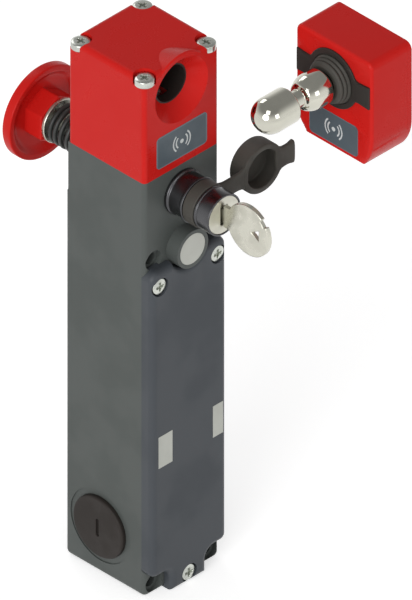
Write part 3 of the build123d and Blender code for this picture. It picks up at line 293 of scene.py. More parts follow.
def softened_copy(context, node, name, body, width):
    """Copy of a flat CAD piece with its triangles joined to faces and its sharp edges bevelled."""
    mesh = frame["nodes"][node].data.copy()
    mesh.name = name
    tidied(mesh, flat_angle=radians(0.5))
    piece = add_piece(context, name, mesh, finish(context, SLOTS[node]), SLOTS[node], body, node)
    bevel = piece.modifiers.new("Soft edges", "BEVEL")
    bevel.width = width
    bevel.segments = 2
    bevel.limit_method = "ANGLE"
    bevel.angle_limit = SHARP
    return piece


# Shader node groups

def new_group(name, inputs, outputs):
    """Empty shader group with its sockets, and its two end nodes."""
    tree = bpy.data.node_groups.new(name, "ShaderNodeTree")
    for label, kind in inputs:
        tree.interface.new_socket(label, in_out="INPUT", socket_type="NodeSocket" + kind)
    for label, kind in outputs:
        tree.interface.new_socket(label, in_out="OUTPUT", socket_type="NodeSocket" + kind)
    return tree, tree.nodes.new("NodeGroupInput"), tree.nodes.new("NodeGroupOutput")


def calc(tree, operation, first, second=0.0, third=0.0):
    """Math node; each term is a number or another node's output."""
    node = tree.nodes.new("ShaderNodeMath")
    node.operation = operation
    for place, term in enumerate((first, second, third)):
        if isinstance(term, float):
            node.inputs[place].default_value = term
        else:
            tree.links.new(term, node.inputs[place])
    return node.outputs[0]


def noise(tree, vector, scale, detail, roughness=0.55):
    """Noise texture read at the vector; the scale is a number or an output."""
    node = tree.nodes.new("ShaderNodeTexNoise")
    node.inputs["Detail"].default_value = detail
    node.inputs["Roughness"].default_value = roughness
    tree.links.new(vector, node.inputs["Vector"])
    if isinstance(scale, float):
        node.inputs["Scale"].default_value = scale
    else:
        tree.links.new(scale, node.inputs["Scale"])
    return node.outputs["Fac"]


def spread(tree, value, low, high, to_low=0.0, to_high=1.0):
    """Map Range node, smooth at both ends."""
    node = tree.nodes.new("ShaderNodeMapRange")
    node.interpolation_type = "SMOOTHSTEP"
    values = {"Value": value, "From Min": low, "From Max": high, "To Min": to_low, "To Max": to_high}
    for label, term in values.items():
        if isinstance(term, float):
            node.inputs[label].default_value = term
        else:
            tree.links.new(term, node.inputs[label])
    return node.outputs["Result"]


def blend_colours(tree, factor, first, second):
    """Mix node for colours."""
    node = tree.nodes.new("ShaderNodeMix")
    node.data_type = "RGBA"
    tree.links.new(factor, node.inputs[0])
    for place, term in ((6, first), (7, second)):
        if isinstance(term, bpy.types.NodeSocket):
            tree.links.new(term, node.inputs[place])
        else:
            node.inputs[place].default_value = (*term, 1.0)
    return node.outputs[2]


def mottled_group():
    """Soft patches of a second colour, fine grain for the bump, and a roughness that follows
    both: patches = smooth step of a wide noise, grain = a narrow noise."""
    known = bpy.data.node_groups.get("Mottled surface")
    if known:
        return known
    tree, start, end = new_group(
        "Mottled surface",
        [("Vector", "Vector"), ("Patch Scale", "Float"), ("Grain Scale", "Float"), ("Smooth", "Float"),
         ("Rough", "Float"), ("Colour", "Color"), ("Patch Colour", "Color")],
        [("Colour", "Color"), ("Height", "Float"), ("Roughness", "Float")],
    )
    place, tone, patch_tone = (start.outputs[label] for label in ("Vector", "Colour", "Patch Colour"))
    patches = spread(tree, noise(tree, place, start.outputs["Patch Scale"], 3.0), 0.35, 0.68)
    grain = noise(tree, place, start.outputs["Grain Scale"], 4.0)
    mixed = calc(tree, "ADD", calc(tree, "MULTIPLY", patches, 0.6), calc(tree, "MULTIPLY", grain, 0.4))
    tree.links.new(blend_colours(tree, patches, tone, patch_tone), end.inputs["Colour"])
    tree.links.new(grain, end.inputs["Height"])
    roughness = spread(tree, mixed, 0.25, 0.75, start.outputs["Smooth"], start.outputs["Rough"])
    tree.links.new(roughness, end.inputs["Roughness"])
    return tree


def turned_group():
    """Fine turning marks: the height follows the sine of the distance from the Z axis over the
    spacing, weakened in patches."""
    known = bpy.data.node_groups.get("Turning marks")
    if known:
        return known
    tree, start, end = new_group(
        "Turning marks", [("Vector", "Vector"), ("Spacing", "Float")], [("Height", "Float")]
    )
    parts = tree.nodes.new("ShaderNodeSeparateXYZ")
    tree.links.new(start.outputs["Vector"], parts.inputs[0])
    squares = calc(
        tree, "ADD", calc(tree, "MULTIPLY", parts.outputs[0], parts.outputs[0]),
        calc(tree, "MULTIPLY", parts.outputs[1], parts.outputs[1]),
    )
    turns = calc(tree, "DIVIDE", calc(tree, "SQRT", squares), start.outputs["Spacing"])
    waves = calc(tree, "SINE", calc(tree, "MULTIPLY", turns, 2 * pi))
    patch = noise(tree, start.outputs["Vector"], 0.4, 2.0)
    tree.links.new(calc(tree, "MULTIPLY", waves, patch), end.inputs["Height"])
    return tree


def print_group():
    """Printed label: a dot, two pairs of arcs at 3 and 4.5 mm within about 49 degrees of the X
    axis, and a thin border. The vector is in millimetres, X across and Y upward."""
    known = bpy.data.node_groups.get("Label print")
    if known:
        return known
    tree, start, end = new_group(
        "Label print",
        [("Vector", "Vector"), ("Half Width", "Float"), ("Half Height", "Float"), ("Border", "Float")],
        [("Mark", "Float"), ("Border", "Float")],
    )
    parts = tree.nodes.new("ShaderNodeSeparateXYZ")
    tree.links.new(start.outputs["Vector"], parts.inputs[0])
    across = calc(tree, "ABSOLUTE", parts.outputs[0])
    up = calc(tree, "ABSOLUTE", parts.outputs[1])
    squares = calc(tree, "ADD", calc(tree, "MULTIPLY", across, across), calc(tree, "MULTIPLY", up, up))
    away = calc(tree, "SQRT", squares)
    wedge = calc(tree, "LESS_THAN", up, calc(tree, "MULTIPLY", across, ARC_SLOPE))
    inner, outer = (calc(tree, "COMPARE", away, radius, ARC_HALF_LINE) for radius in ARC_RADII)
    arcs = calc(tree, "MAXIMUM", inner, outer)
    dot = calc(tree, "LESS_THAN", away, DOT_RADIUS)
    tree.links.new(calc(tree, "MAXIMUM", dot, calc(tree, "MULTIPLY", arcs, wedge)), end.inputs["Mark"])
    border = start.outputs["Border"]
    side = calc(tree, "GREATER_THAN", across, calc(tree, "SUBTRACT", start.outputs["Half Width"], border))
    ends = calc(tree, "GREATER_THAN", up, calc(tree, "SUBTRACT", start.outputs["Half Height"], border))
    tree.links.new(calc(tree, "MAXIMUM", side, ends), end.inputs["Border"])
    return tree


# Materials

def new_material(name, metallic, specular):
    """Material with its Principled shader and its object coordinates."""
    material = bpy.data.materials.new(name)
    material.use_nodes = True
    tree = material.node_tree
    shader = tree.nodes["Principled BSDF"]
    shader.inputs["Metallic"].default_value = metallic
    shader.inputs["Specular IOR Level"].default_value = specular
    return material, tree, shader, tree.nodes.new("ShaderNodeTexCoord").outputs["Object"]


def add_bump(tree, shader, height, strength, distance):
    """Bump from the height, which feeds the shader's normal."""
    bump = tree.nodes.new("ShaderNodeBump")
    bump.inputs["Strength"].default_value = strength
    bump.inputs["Distance"].default_value = distance
    tree.links.new(height, bump.inputs["Height"])
    tree.links.new(bump.outputs["Normal"], shader.inputs["Normal"])


def add_mottle(tree, shader, place, tone, patch_tone, scales, roughness):
    """Places the mottled group and feeds the shader's colour and roughness from it."""
    group = tree.nodes.new("ShaderNodeGroup")
    group.node_tree = mottled_group()
    values = {
        "Patch Scale": scales[0], "Grain Scale": scales[1], "Smooth": roughness[0], "Rough": roughness[1],
        "Colour": (*tone, 1.0), "Patch Colour": (*patch_tone, 1.0),
    }
    for label, value in values.items():
        group.inputs[label].default_value = value
    tree.links.new(place, group.inputs["Vector"])
    tree.links.new(group.outputs["Colour"], shader.inputs["Base Color"])
    tree.links.new(group.outputs["Roughness"], shader.inputs["Roughness"])
    return group


def in_millimetres(tree, place, turn, shift):
    """The object's coordinates in millimetres, turned and then moved."""
    mapping = tree.nodes.new("ShaderNodeMapping")
    mapping.inputs["Scale"].default_value = TO_MILLIMETRES
    mapping.inputs["Rotation"].default_value = turn
    mapping.inputs["Location"].default_value = shift
    tree.links.new(place, mapping.inputs["Vector"])
    return mapping.outputs["Vector"]


def seen_or_reflected(tree):
    """1 for rays from the camera, reflections and clear pieces, 0 for the light that falls."""
    path = tree.nodes.new("ShaderNodeLightPath")
    seen = calc(tree, "MAXIMUM", path.outputs["Is Camera Ray"], path.outputs["Is Glossy Ray"])
    return calc(tree, "MAXIMUM", seen, path.outputs["Is Transmission Ray"])


# slot: patch tint, patch scale, grain scale, least and most roughness, bump strength,
# bump distance, metallic, specular
LOOKS = {
    "casting": (0.96, 38.0, 2600.0, 0.46, 0.60, 0.35, 0.00008, 0.0, 0.30),
    "cover": (0.96, 34.0, 2600.0, 0.44, 0.58, 0.35, 0.00008, 0.0, 0.30),
    "red_plastic": (0.96, 26.0, 1500.0, 0.26, 0.36, 0.12, 0.00004, 0.0, 0.12),
    "dark_plastic": (0.90, 60.0, 1800.0, 0.42, 0.58, 0.25, 0.00006, 0.0, 0.18),
    "label": (0.92, 80.0, 3000.0, 0.40, 0.50, 0.12, 0.00003, 0.0, 0.35),
    "pale_plastic": (0.94, 90.0, 2400.0, 0.42, 0.55, 0.15, 0.00004, 0.0, 0.35),
    "zinc_steel": (0.84, 260.0, 3200.0, 0.24, 0.42, 0.20, 0.00004, 1.0, 0.50),
    "nickel": (0.93, 160.0, 2600.0, 0.26, 0.40, 0.12, 0.00003, 1.0, 0.50),
    "dark_chrome": (0.86, 120.0, 2600.0, 0.26, 0.36, 0.06, 0.00003, 1.0, 0.50),
    "rubber": (0.84, 70.0, 2200.0, 0.55, 0.72, 0.40, 0.00010, 0.0, 0.28),
    "spring_black": (0.80, 110.0, 2400.0, 0.34, 0.50, 0.20, 0.00005, 0.0, 0.50),
    "copper_winding": (0.75, 300.0, 1500.0, 0.28, 0.44, 0.20, 0.00005, 1.0, 0.50),
    "board_green": (0.70, 320.0, 1500.0, 0.34, 0.50, 0.30, 0.00006, 0.0, 0.45),
    "brass": (0.85, 200.0, 2600.0, 0.22, 0.38, 0.15, 0.00004, 1.0, 0.50),
}


def slot_look(context, slot, name):
    """New material with the slot's look, and the parts of it that a print is added to."""
    tint, patch, grain, low, high, strength, distance, metallic, specular = LOOKS[slot]
    tone = np.array(getattr(context.scene.guard_switch_colours, slot))
    material, tree, shader, place = new_material(name, metallic, specular)
    group = add_mottle(tree, shader, place, tone, tone * tint, (patch, grain), (low, high))
    add_bump(tree, shader, group.outputs["Height"], strength, distance)
    return material, tree, shader, place, tone, group


def finish(context, slot):
    """The material of one of the record's slots, made once."""
    name = slot.replace("_", " ").capitalize()
    return bpy.data.materials.get(name) or slot_look(context, slot, name)[0]


def label_finish(context, name, turn, shift):
    """Plate finish: the print group reads the object's millimetres, turned so that X lies
    across the plate and Y upward."""
    material, tree, shader, place, tone, group = slot_look(context, "label", name)
    vector = in_millimetres(tree, place, turn, shift)
    printed = tree.nodes.new("ShaderNodeGroup")
    printed.node_tree = print_group()
    for label, value in LABEL_PRINT.items():
        printed.inputs[label].default_value = value
    tree.links.new(vector, printed.inputs["Vector"])
    edged = blend_colours(tree, printed.outputs["Border"], group.outputs["Colour"], tuple(tone * 1.7))
    mark = tuple(context.scene.guard_switch_colours.mark)
    marked = blend_colours(tree, printed.outputs["Mark"], edged, mark)
    tree.links.new(marked, shader.inputs["Base Color"])
    return material


def polished_finish(context):
    """Chromed pin: bright metal with faint smears in its roughness and next to no grain."""
    tone = np.array(context.scene.guard_switch_colours.nickel)
    material, tree, shader, place = new_material("Polished chrome", metallic=1.0, specular=0.5)
    group = add_mottle(
        tree, shader, place, tone * 0.93, tone, scales=(90.0, 900.0), roughness=(0.06, 0.11)
    )
    add_bump(tree, shader, group.outputs["Height"], strength=0.03, distance=0.00002)
    return material


def turned_finish(context, name, slot, centre):
    """Satin metal disc with fine turning marks round the Y axis through its centre."""
    tone = np.array(getattr(context.scene.guard_switch_colours, slot))
    material, tree, shader, place = new_material(name, metallic=1.0, specular=0.5)
    add_mottle(
        tree, shader, place, tone, tone * 0.92, scales=(140.0, 2200.0), roughness=(0.30, 0.42)
    )
    vector = in_millimetres(tree, place, (radians(-90), 0.0, 0.0), (-centre[0], -centre[2], 0.0))
    marks = tree.nodes.new("ShaderNodeGroup")
    marks.node_tree = turned_group()
    marks.inputs["Spacing"].default_value = 0.28
    tree.links.new(vector, marks.inputs["Vector"])
    add_bump(tree, shader, marks.outputs["Height"], strength=0.25, distance=0.00003)
    return material


# Operators, one for each piece or group of like pieces

class GUARD_OT_frame_finish(bpy.types.Operator):
    """Gives every CAD node the finish of its slot, and both label plates their print"""

    bl_idname = "guard.frame_finish"
    bl_label = "Castings, covers and inner pieces"

    def execute(self, context):
        labels = {
            "head_label": label_finish(context, "Head label", (radians(-90), 0.0, 0.0), (0.0, -123.2, 0.0)),
            "actuator_label": label_finish(
                context, "Actuator label", (radians(-90), radians(-90), 0.0), (78.0, -123.3, 0.0)
            ),
        }
        for name, node in frame["nodes"].items():
            material = labels.get(name) or finish(context, SLOTS[name])
            if not node.material_slots:
                node.data.materials.append(material)
            for place in node.material_slots:
                place.material = material
        return {"FINISHED"}


class GUARD_OT_screws(bpy.types.Operator):
    """Pan head screws of the head and of the cover. Each head is a polar grid: its height is the
    pan's outline, less the recess depth inside a cross of two soft edged boxes"""

    bl_idname = "guard.screws"
    bl_label = "Cross recess screws"

    def execute(self, context):
        depth = context.scene.guard_switch_sizes.recess / MM
        long_screw = self.screw(radius=3.9, height=2.9, length=52.0, shank=2.0, depth=depth)
        head = [long_screw + np.array((x, y, HEAD_SCREW_SEAT)) for x, y in HEAD_SCREWS]
        short_screw = self.screw(radius=3.5, height=2.2, length=8.0, shank=1.75, depth=depth)
        right, up, out = np.moveaxis(short_screw, -1, 0)
        cover = [np.stack((right + x, COVER_SCREW_SEAT - out, up + z), axis=-1) for x, z in COVER_SCREWS]
        material = finish(context, "zinc_steel")
        sets = (("head_screw_set", head, "head_screws"), ("cover_screw_set", cover, "cover_screws"))
        for name, grids, node in sets:
            mesh = surface_mesh(name, [(grid, False, True) for grid in grids])
            add_piece(context, name, mesh, material, "zinc_steel", "switch", node)
        return {"FINISHED"}

    def screw(self, radius, height, length, shank, depth):
        """Rings (r, h) from the middle of the top, over the pan's edge, down to the shank's end."""
        crown, shoulder, round_off = 0.10, 0.25, 0.9
        inner = np.linspace(0.0, radius - 1.0, 26)
        top = np.stack((height - crown * (inner / radius) ** 2, inner), axis=1)
        edge = soften(
            [(height - crown, radius - round_off), (height - shoulder, radius), (0.0, radius),
             (0.0, shank), (-length, shank), (-length, 0.0)],
            [0.0, round_off, 0.15, 0.0, 0.1, 0.0],
        )
        rings = np.concatenate((top, edge))
        t = around(96)
        x = rings[:, 1:2] * np.cos(t)
        y = rings[:, 1:2] * np.sin(t)
        cross = np.maximum(self.bar(x, y), self.bar(y, x)) * (rings[:, :1] > height - 0.3)
        return np.stack((x, y, rings[:, :1] - depth * cross), axis=-1)

    def bar(self, along, across):
        """Soft box: 1 inside the bar, falling to 0 over its edge."""
        half_length, half_width, edge = 1.95, 0.48, 0.25
        near = np.clip((half_length - np.abs(along)) / edge + 0.5, 0.0, 1.0)
        return near * np.clip((half_width - np.abs(across)) / edge + 0.5, 0.0, 1.0)


class GUARD_OT_key_lock(bpy.types.Operator):
    """Collar, barrel head, core face and blanking disc, turned with bright rounded rims. The
    core's face is open in the shape of the keyway, whose walls go back to a floor"""

    bl_idname = "guard.key_lock"
    bl_label = "Key lock and blanking disc"

    def execute(self, context):
        rim = context.scene.guard_switch_sizes.rim / MM
        chrome = finish(context, "dark_chrome")
        collar = soften(
            [(-45.0, 6.9), (-42.5, 6.9), (-42.5, 9.6), (-43.9, 9.6), (-44.3, 8.95), (-50.3, 8.95),
             (-50.7, 9.6), (-51.9, 9.6), (-51.9, 6.9), (-45.0, 6.9)],
            rim,
        )
        mesh = surface_mesh("lock_collar", [(turned(collar, LOCK, "Y"), False, True)])
        add_piece(context, "lock_collar", mesh, chrome, "dark_chrome", "switch", "lock_bezel")
        barrel = soften(
            [(-50.0, 6.9), (-57.6, 6.9), (-57.6, 8.9), (-58.5, 8.9), (-58.7, 8.6), (-59.1, 8.6),
             (-59.3, 8.9), (-65.5, 8.9), (-65.5, 8.18), (-63.5, 8.18), (-63.5, 5.58), (-31.0, 5.58),
             (-31.0, 6.9), (-50.0, 6.9)],
            [0.0, 0.0, rim, 0.2, 0.1, 0.1, 0.2, rim, 0.15, 0.0, 0.0, 0.0, 0.0, 0.0],
        )
        mesh = surface_mesh("lock_head", [(turned(barrel, LOCK, "Y"), False, True)])
        add_piece(context, "lock_head", mesh, chrome, "dark_chrome", "switch", "lock_barrel")
        mesh = surface_mesh("lock_face", [(self.core(), False, True)])
        face = turned_finish(context, "Turned nickel", "nickel", LOCK)
        add_piece(context, "lock_face", mesh, face, "nickel", "core", "lock_core")
        disc = soften(
            [(-48.5, 0.0), (-48.5, 6.75), (-47.1, 6.75), (-47.1, 4.0), (-40.1, 4.0), (-40.1, 0.0)],
            [0.0, 0.35, 0.0, 0.0, 0.3, 0.0],
        )
        mesh = surface_mesh("blanking_disc", [(turned(disc, PLUG, "Y"), False, True)])
        pale = finish(context, "pale_plastic")
        add_piece(context, "blanking_disc", mesh, pale, "pale_plastic", "switch", "blanking_plug")
        return {"FINISHED"}

    def core(self):
        """Rings from the keyway's floor, up its walls, over the face and back along the core. A
        ring's radius is the wanted one, or in the keyway the least of half width / |cos t| and
        half height / |sin t|."""
        columns = 240
        half_width, half_height = 1.9, 4.2
        t = around(columns)
        across, up = np.maximum(np.abs(np.cos(t)), 1e-6), np.maximum(np.abs(np.sin(t)), 1e-6)
        slot = np.minimum(half_width / across, half_height / up)
        inside = [(-41.2, 0.0), (-41.2, 1.0), (-65.15, 1.0), (-65.3, 1.05)]
        outside = soften(
            [(-65.3, 6.4), (-65.3, 8.1), (-63.8, 8.1), (-63.8, 5.5), (-30.7, 5.5), (-30.7, 2.6),
             (-26.5, 2.6), (-26.5, 0.0)],
            [0.0, 0.3, 0.1, 0.0, 0.0, 0.0, 0.2, 0.0],
        )
        walls = turned(inside, LOCK, "Y", columns, slot)
        return np.concatenate((walls, turned(outside, LOCK, "Y", columns)))


class GUARD_OT_key(bpy.types.Operator):
    """Flat key and other flat pieces: copies of the CAD pieces with softened edges"""

    bl_idname = "guard.key"
    bl_label = "Key and cable plugs"

    def execute(self, context):
        edge = context.scene.guard_switch_sizes.soft_edge
        softened_copy(context, "key", "flat_key", "key_body", edge)
        softened_copy(context, "cable_plug_left", "entry_plug_left", "switch", edge)
        softened_copy(context, "cable_plug_right", "entry_plug_right", "switch", edge)
        softened_copy(context, "button_washer", "spring_washer", "button", edge)
        return {"FINISHED"}


class GUARD_OT_dust_cap(bpy.types.Operator):
    """Rubber cap, grip tab and strap. The cup is turned, tab and strap are superellipse tubes
    whose height flares into the cup"""

    bl_idname = "guard.dust_cap"
    bl_label = "Dust cap and strap"

    def execute(self, context):
        rubber = finish(context, "rubber")
        cup = soften(
            [(-46.3, 0.0), (-46.3, 10.75), (-54.5, 10.75), (-54.5, 8.25), (-47.9, 8.25), (-47.9, 0.0)],
            [0.0, 1.6, 0.8, 0.7, 0.9, 0.0],
        )
        tab = self.strip(39.0, 49.25, self.tab_height, self.tab_thickness)
        mesh = surface_mesh("rubber_cap", [(turned(cup, CAP, "Y"), False, True), (tab, False, True)])
        add_piece(context, "rubber_cap", mesh, rubber, "rubber", "cap", "dust_cap")
        ring = soften(
            [(-54.0, 6.9), (-52.0, 6.9), (-52.0, 9.3), (-57.5, 9.3), (-57.5, 6.9), (-54.0, 6.9)],
            [0.0, 0.0, 0.45, 0.45, 0.0, 0.0],
        )
        tongue = self.strip(7.6, 24.4, self.strap_height, self.strap_thickness)
        mesh = surface_mesh("rubber_strap", [(turned(ring, LOCK, "Y"), False, True), (tongue, False, True)])
        strap = add_piece(context, "rubber_strap", mesh, rubber, "rubber", None, "cap_strap")
        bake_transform(strap)
        return {"FINISHED"}

    def strip(self, first, last, height, thickness):
        """Tube from first to last along X, closed by quarter round ends over its end shares."""
        end_share = 0.08
        s = np.linspace(0.0, 1.0, 72)
        x = first + (last - first) * s
        missing = np.maximum(0.0, 1.0 - np.minimum(s, 1.0 - s) / end_share)
        ends = np.sqrt(np.clip(1.0 - missing**2, 0.0, 1.0))
        return carried(x, height(x) * ends, thickness(x) * ends, STRAP_LINE)

    def bump(self, x, middle, width):
        """Bell of height one round the middle."""
        return np.exp(-(((x - middle) / width) ** 2))

    def tab_height(self, x):
        """Half height of the tab: tall at the cup, then about 4.7 up to the bead."""
        return 4.7 + 3.6 * self.bump(x, 38.5, 2.4) + 0.5 * self.bump(x, 48.6, 1.6)

    def tab_thickness(self, x):
        """Half thickness of the tab, thicker at its bead."""
        return 0.95 + 0.42 * self.bump(x, 47.85, 1.5)

    def strap_height(self, x):
        """Half height of the strap: 3.9 in the middle, flared towards the cup and the ring."""
        return 3.9 + 3.0 * self.bump(x, 26.0, 3.6) + 1.2 * self.bump(x, 7.0, 2.6)

    def strap_thickness(self, x):
        """Half thickness of the strap, even over its length."""
        return np.full_like(x, 0.85)


class GUARD_OT_release_button(bpy.types.Operator):
    """Mushroom with its six sided hub, and the spring. The hub is a turned surface whose radius
    is that of a hexagon with cut corners"""

    bl_idname = "guard.release_button"
    bl_label = "Release button and spring"

    def execute(self, context):
        sizes = context.scene.guard_switch_sizes
        top, radius, dome_rise, corner_limit = 37.6, 20.0, 3.6, 1.14
        lean = radius * np.linspace(0.0, 1.0, 24)
        ball = (radius**2 + dome_rise**2) / (2 * dome_rise)
        dome = np.stack((top - ball + np.sqrt(ball**2 - lean**2), lean), axis=1)[:-1]
        under = soften(
            [dome[-1], (34.0, radius), (30.0, radius), (30.0, 17.6), (32.4, 15.2), (32.4, 8.0), (32.4, 0.0)],
            [0.0, 0.7, 0.7, 0.4, 1.4, 0.0, 0.0],
        )
        cap = turned(np.concatenate((dome, under)), LOCK, "Y", 200)
        t = around(192)
        turn = (t + pi / 6) % (pi / 3) - pi / 6
        six = np.minimum(1.0 / np.cos(turn), corner_limit)
        hub = soften([(23.75, 0.0), (23.75, 9.25), (32.6, 9.25), (32.6, 0.0)], [0.0, 0.7, 0.0, 0.0])
        hub = turned(hub, LOCK, "Y", len(t), six)
        mesh = surface_mesh("release_mushroom", [(cap, False, True), (hub, False, True)])
        red = finish(context, "red_plastic")
        add_piece(context, "release_mushroom", mesh, red, "red_plastic", "button", "escape_button")
        length = sizes.spring_length / MM
        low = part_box("button_spring")[0][1] / MM
        helix = coil(low, length, sizes.spring_radius / MM, sizes.spring_wire / MM, 6.8, LOCK, "Y")
        mesh = surface_mesh("release_spring", [(helix, False, True)])
        black = finish(context, "spring_black")
        spring = add_piece(context, "release_spring", mesh, black, "spring_black", "switch", "button_spring")
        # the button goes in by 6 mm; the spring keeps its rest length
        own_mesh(spring)
        return {"FINISHED"}


class GUARD_OT_rod_spring(bpy.types.Operator):
    """Return spring of the locking rod, a helix over the height of the CAD spring"""

    bl_idname = "guard.rod_spring"
    bl_label = "Rod spring"

    def execute(self, context):
        low, high = (np.array(corner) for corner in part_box("rod_spring"))
        middle = (low + high) / 2
        length = (high[2] - low[2]) / MM
        centre = (middle[0] / MM, middle[1] / MM, 0.0)
        helix = coil(low[2] / MM, length, radius=3.7, wire=0.45, turns=4.0, centre=centre, axis="Z")
        mesh = surface_mesh("return_spring", [(helix, False, True)])
        steel = finish(context, "zinc_steel")
        spring = add_piece(context, "return_spring", mesh, steel, "zinc_steel", "switch", "rod_spring")
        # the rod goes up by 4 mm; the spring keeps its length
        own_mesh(spring)
        return {"FINISHED"}


class GUARD_OT_actuator_pin(bpy.types.Operator):
    """Polished pin, turned: ball tip, neck, barrel with a round shoulder, shaft and flange"""

    bl_idname = "guard.actuator_pin"
    bl_label = "Actuator pin"

    def execute(self, context):
        tip_end, radius = 4.5, 7.5
        lean = np.linspace(0.0, pi / 2, 28)
        tip = np.stack((tip_end + radius * (1 - np.cos(lean)), radius * np.sin(lean)), axis=1)[:-1]
        rest = soften(
            [(12.0, radius), (21.6, radius), (21.6, 3.6), (27.6, 3.6), (28.2, 5.6), (31.8, radius),
             (39.2, radius), (39.2, 5.0), (51.5, 5.0), (51.5, 8.6), (54.5, 8.6), (54.5, 5.0),
             (57.0, 5.0), (57.0, 0.0)],
            [0.0, 0.9, 0.5, 0.5, 1.6, 2.2, 0.9, 0.3, 0.1, 0.3, 0.3, 0.1, 0.6, 0.0],
            steps=10,
        )
        profile = np.concatenate((tip, rest))
        mesh = surface_mesh("polished_pin", [(turned(profile, ACTUATOR, "X", 160), False, True)])
        add_piece(context, "polished_pin", mesh, polished_finish(context), "nickel", "pin", "actuator_pin")
        return {"FINISHED"}


class GUARD_OT_actuator_rubber(bpy.types.Operator):
    """Band and ringed boot of the actuator. The band's edge is the power mean of a circle and of
    two flared wings; the boot's radius waves three times as it grows"""

    bl_idname = "guard.actuator_rubber"
    bl_label = "Actuator band and boot"

    def execute(self, context):
        mesh = surface_mesh("wing_band", [(self.band(), True, True)])
        dark = finish(context, "dark_plastic")
        add_piece(context, "wing_band", mesh, dark, "dark_plastic", "actuator", "actuator_band")
        s = np.linspace(0.0, 1.0, 60)
        waves = np.abs(np.sin(3 * pi * s)) ** 0.5
        outer = np.stack((41.3 + 4.6 * s, 7.7 + 1.9 * s + 0.9 * waves), axis=1)
        mouth = soften(
            [(42.6, 6.0), (42.6, 5.15), (41.1, 5.15), (41.1, 7.3), outer[0]],
            [0.0, 0.2, 0.3, 0.5, 0.0],
        )
        seat = [(46.0, 10.35), (49.3, 10.35), (49.3, 6.0), (42.6, 6.0)]
        profile = np.concatenate((mouth, outer[1:], seat))
        mesh = surface_mesh("ringed_boot", [(turned(profile, ACTUATOR, "X", 144), False, True)])
        rubber = finish(context, "rubber")
        boot = add_piece(context, "ringed_boot", mesh, rubber, "rubber", None, "actuator_boot")
        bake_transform(boot)
        return {"FINISHED"}

    def band(self):
        """Rings between the hole and the edge R(t) = (disc^k + W(t)^k)^(1/k) with k = 9, where W is
        the wing's own radius: its end or its slanted flank, whichever is nearer, and 40 at most."""
        hole_radius, disc, wing_end, half_width, slant, power = 10.45, 12.8, 19.4, 3.3, 0.088, 9
        t = around(720)
        across, up = np.abs(np.cos(t)), np.abs(np.sin(t))
        flank = half_width / np.maximum(up - slant * across, 1e-3)
        flank = np.where(up > slant * across, flank, 1e3)
        wing = np.minimum(wing_end / np.maximum(across, 1e-6), flank)
        edge = (disc**power + np.minimum(wing, 40.0) ** power) ** (1 / power)
        hole = np.full_like(edge, hole_radius)
        rows = [
            (47.1, hole), (45.7, hole), (45.5, hole + 0.2), (45.5, edge - 0.45), (45.56, edge - 0.2),
            (45.75, edge), (47.1, edge),
        ]
        x = np.repeat(np.array([row[0] for row in rows])[:, None], len(t), axis=1)
        reach = np.array([row[1] for row in rows])
        return placed(x, reach * np.cos(t), reach * np.sin(t), "X", ACTUATOR)


class GUARD_OT_actuator_block(bpy.types.Operator):
    """Block of the actuator and its back plate, with sides that curve in towards the foot. Each
    outer point moves along its ray from the pin's axis by the share C(t) / S(t), where S is the
    stepped outline's distance at the ray's angle t and C that of an arc which bends in by 5 mm
    over 13.5 mm"""

    bl_idname = "guard.actuator_block"
    bl_label = "Actuator block"

    def execute(self, context):
        edge = context.scene.guard_switch_sizes.soft_edge
        for node, name in (("actuator_housing", "actuator_block"), ("actuator_plate", "actuator_back")):
            self.curve_foot(softened_copy(context, node, name, "actuator", edge).data)
        return {"FINISHED"}

    def curve_foot(self, mesh):
        """Cuts the mesh at nine heights, so that the curve has points, and moves them. The
        outlines are given as distances sideways and down from the pin's axis."""
        foot_z, depth, bend_in, outer_share = 114.1, 13.5, 5.0, 0.88
        half_width, foot_half_width, corner_x, corner_radius = 20.5, 15.5, 18.9, 3.4
        knee, step, corner, foot = 19.4, 23.9, 27.3, 32.9
        shape = bmesh.new()
        shape.from_mesh(mesh)
        for level in np.linspace(1.5, depth, 9):
            everything = shape.verts[:] + shape.edges[:] + shape.faces[:]
            middle = (0.0, 0.0, (foot_z + level) * MM)
            bmesh.ops.bisect_plane(shape, geom=everything, plane_co=middle, plane_no=(0.0, 0.0, 1.0))
        shape.to_mesh(mesh)
        shape.free()
        points = np.empty(len(mesh.vertices) * 3)
        mesh.vertices.foreach_get("co", points)
        points = points.reshape(-1, 3)
        centre = np.array(ACTUATOR[1:]) * MM
        arm = points[:, 1:] - centre
        angle = np.arctan2(-arm[:, 1], np.abs(arm[:, 0]))
        turn = np.linspace(0.0, pi / 2, 40)
        round_corner = (corner_x - corner_radius * np.sin(turn), corner - corner_radius * np.cos(turn))
        stepped = np.concatenate((
            self.line((half_width, knee), (half_width, step)),
            self.line((half_width, step), (corner_x, step)),
            np.stack(round_corner, axis=1),
            self.line((foot_half_width, corner), (foot_half_width, foot)),
        ))
        radius = (depth**2 + bend_in**2) / (2 * bend_in)
        bend = np.linspace(0.0, np.arcsin(depth / radius), 120)
        arc = (half_width - radius + radius * np.cos(bend), knee + radius * np.sin(bend))
        old = self.distance(angle, stepped)
        new = self.distance(angle, np.stack(arc, axis=1))
        share = np.where(np.linalg.norm(arm, axis=1) > outer_share * old, new / old, 1.0)
        points[:, 1:] = centre + arm * share[:, None]
        mesh.vertices.foreach_set("co", points.ravel())
        mesh.update()
        mesh.set_sharp_from_angle(angle=SHARP)

    def line(self, first, last):
        """Points along a straight stretch."""
        s = np.linspace(0.0, 1.0, 60)[:, None]
        return np.array(first) * (1 - s) + np.array(last) * s

    def distance(self, angle, outline):
        """Distance from the axis to the outline at each angle, in metres."""
        away = np.linalg.norm(outline, axis=1) * MM
        return np.interp(angle, np.arctan2(outline[:, 1], outline[:, 0]), away)


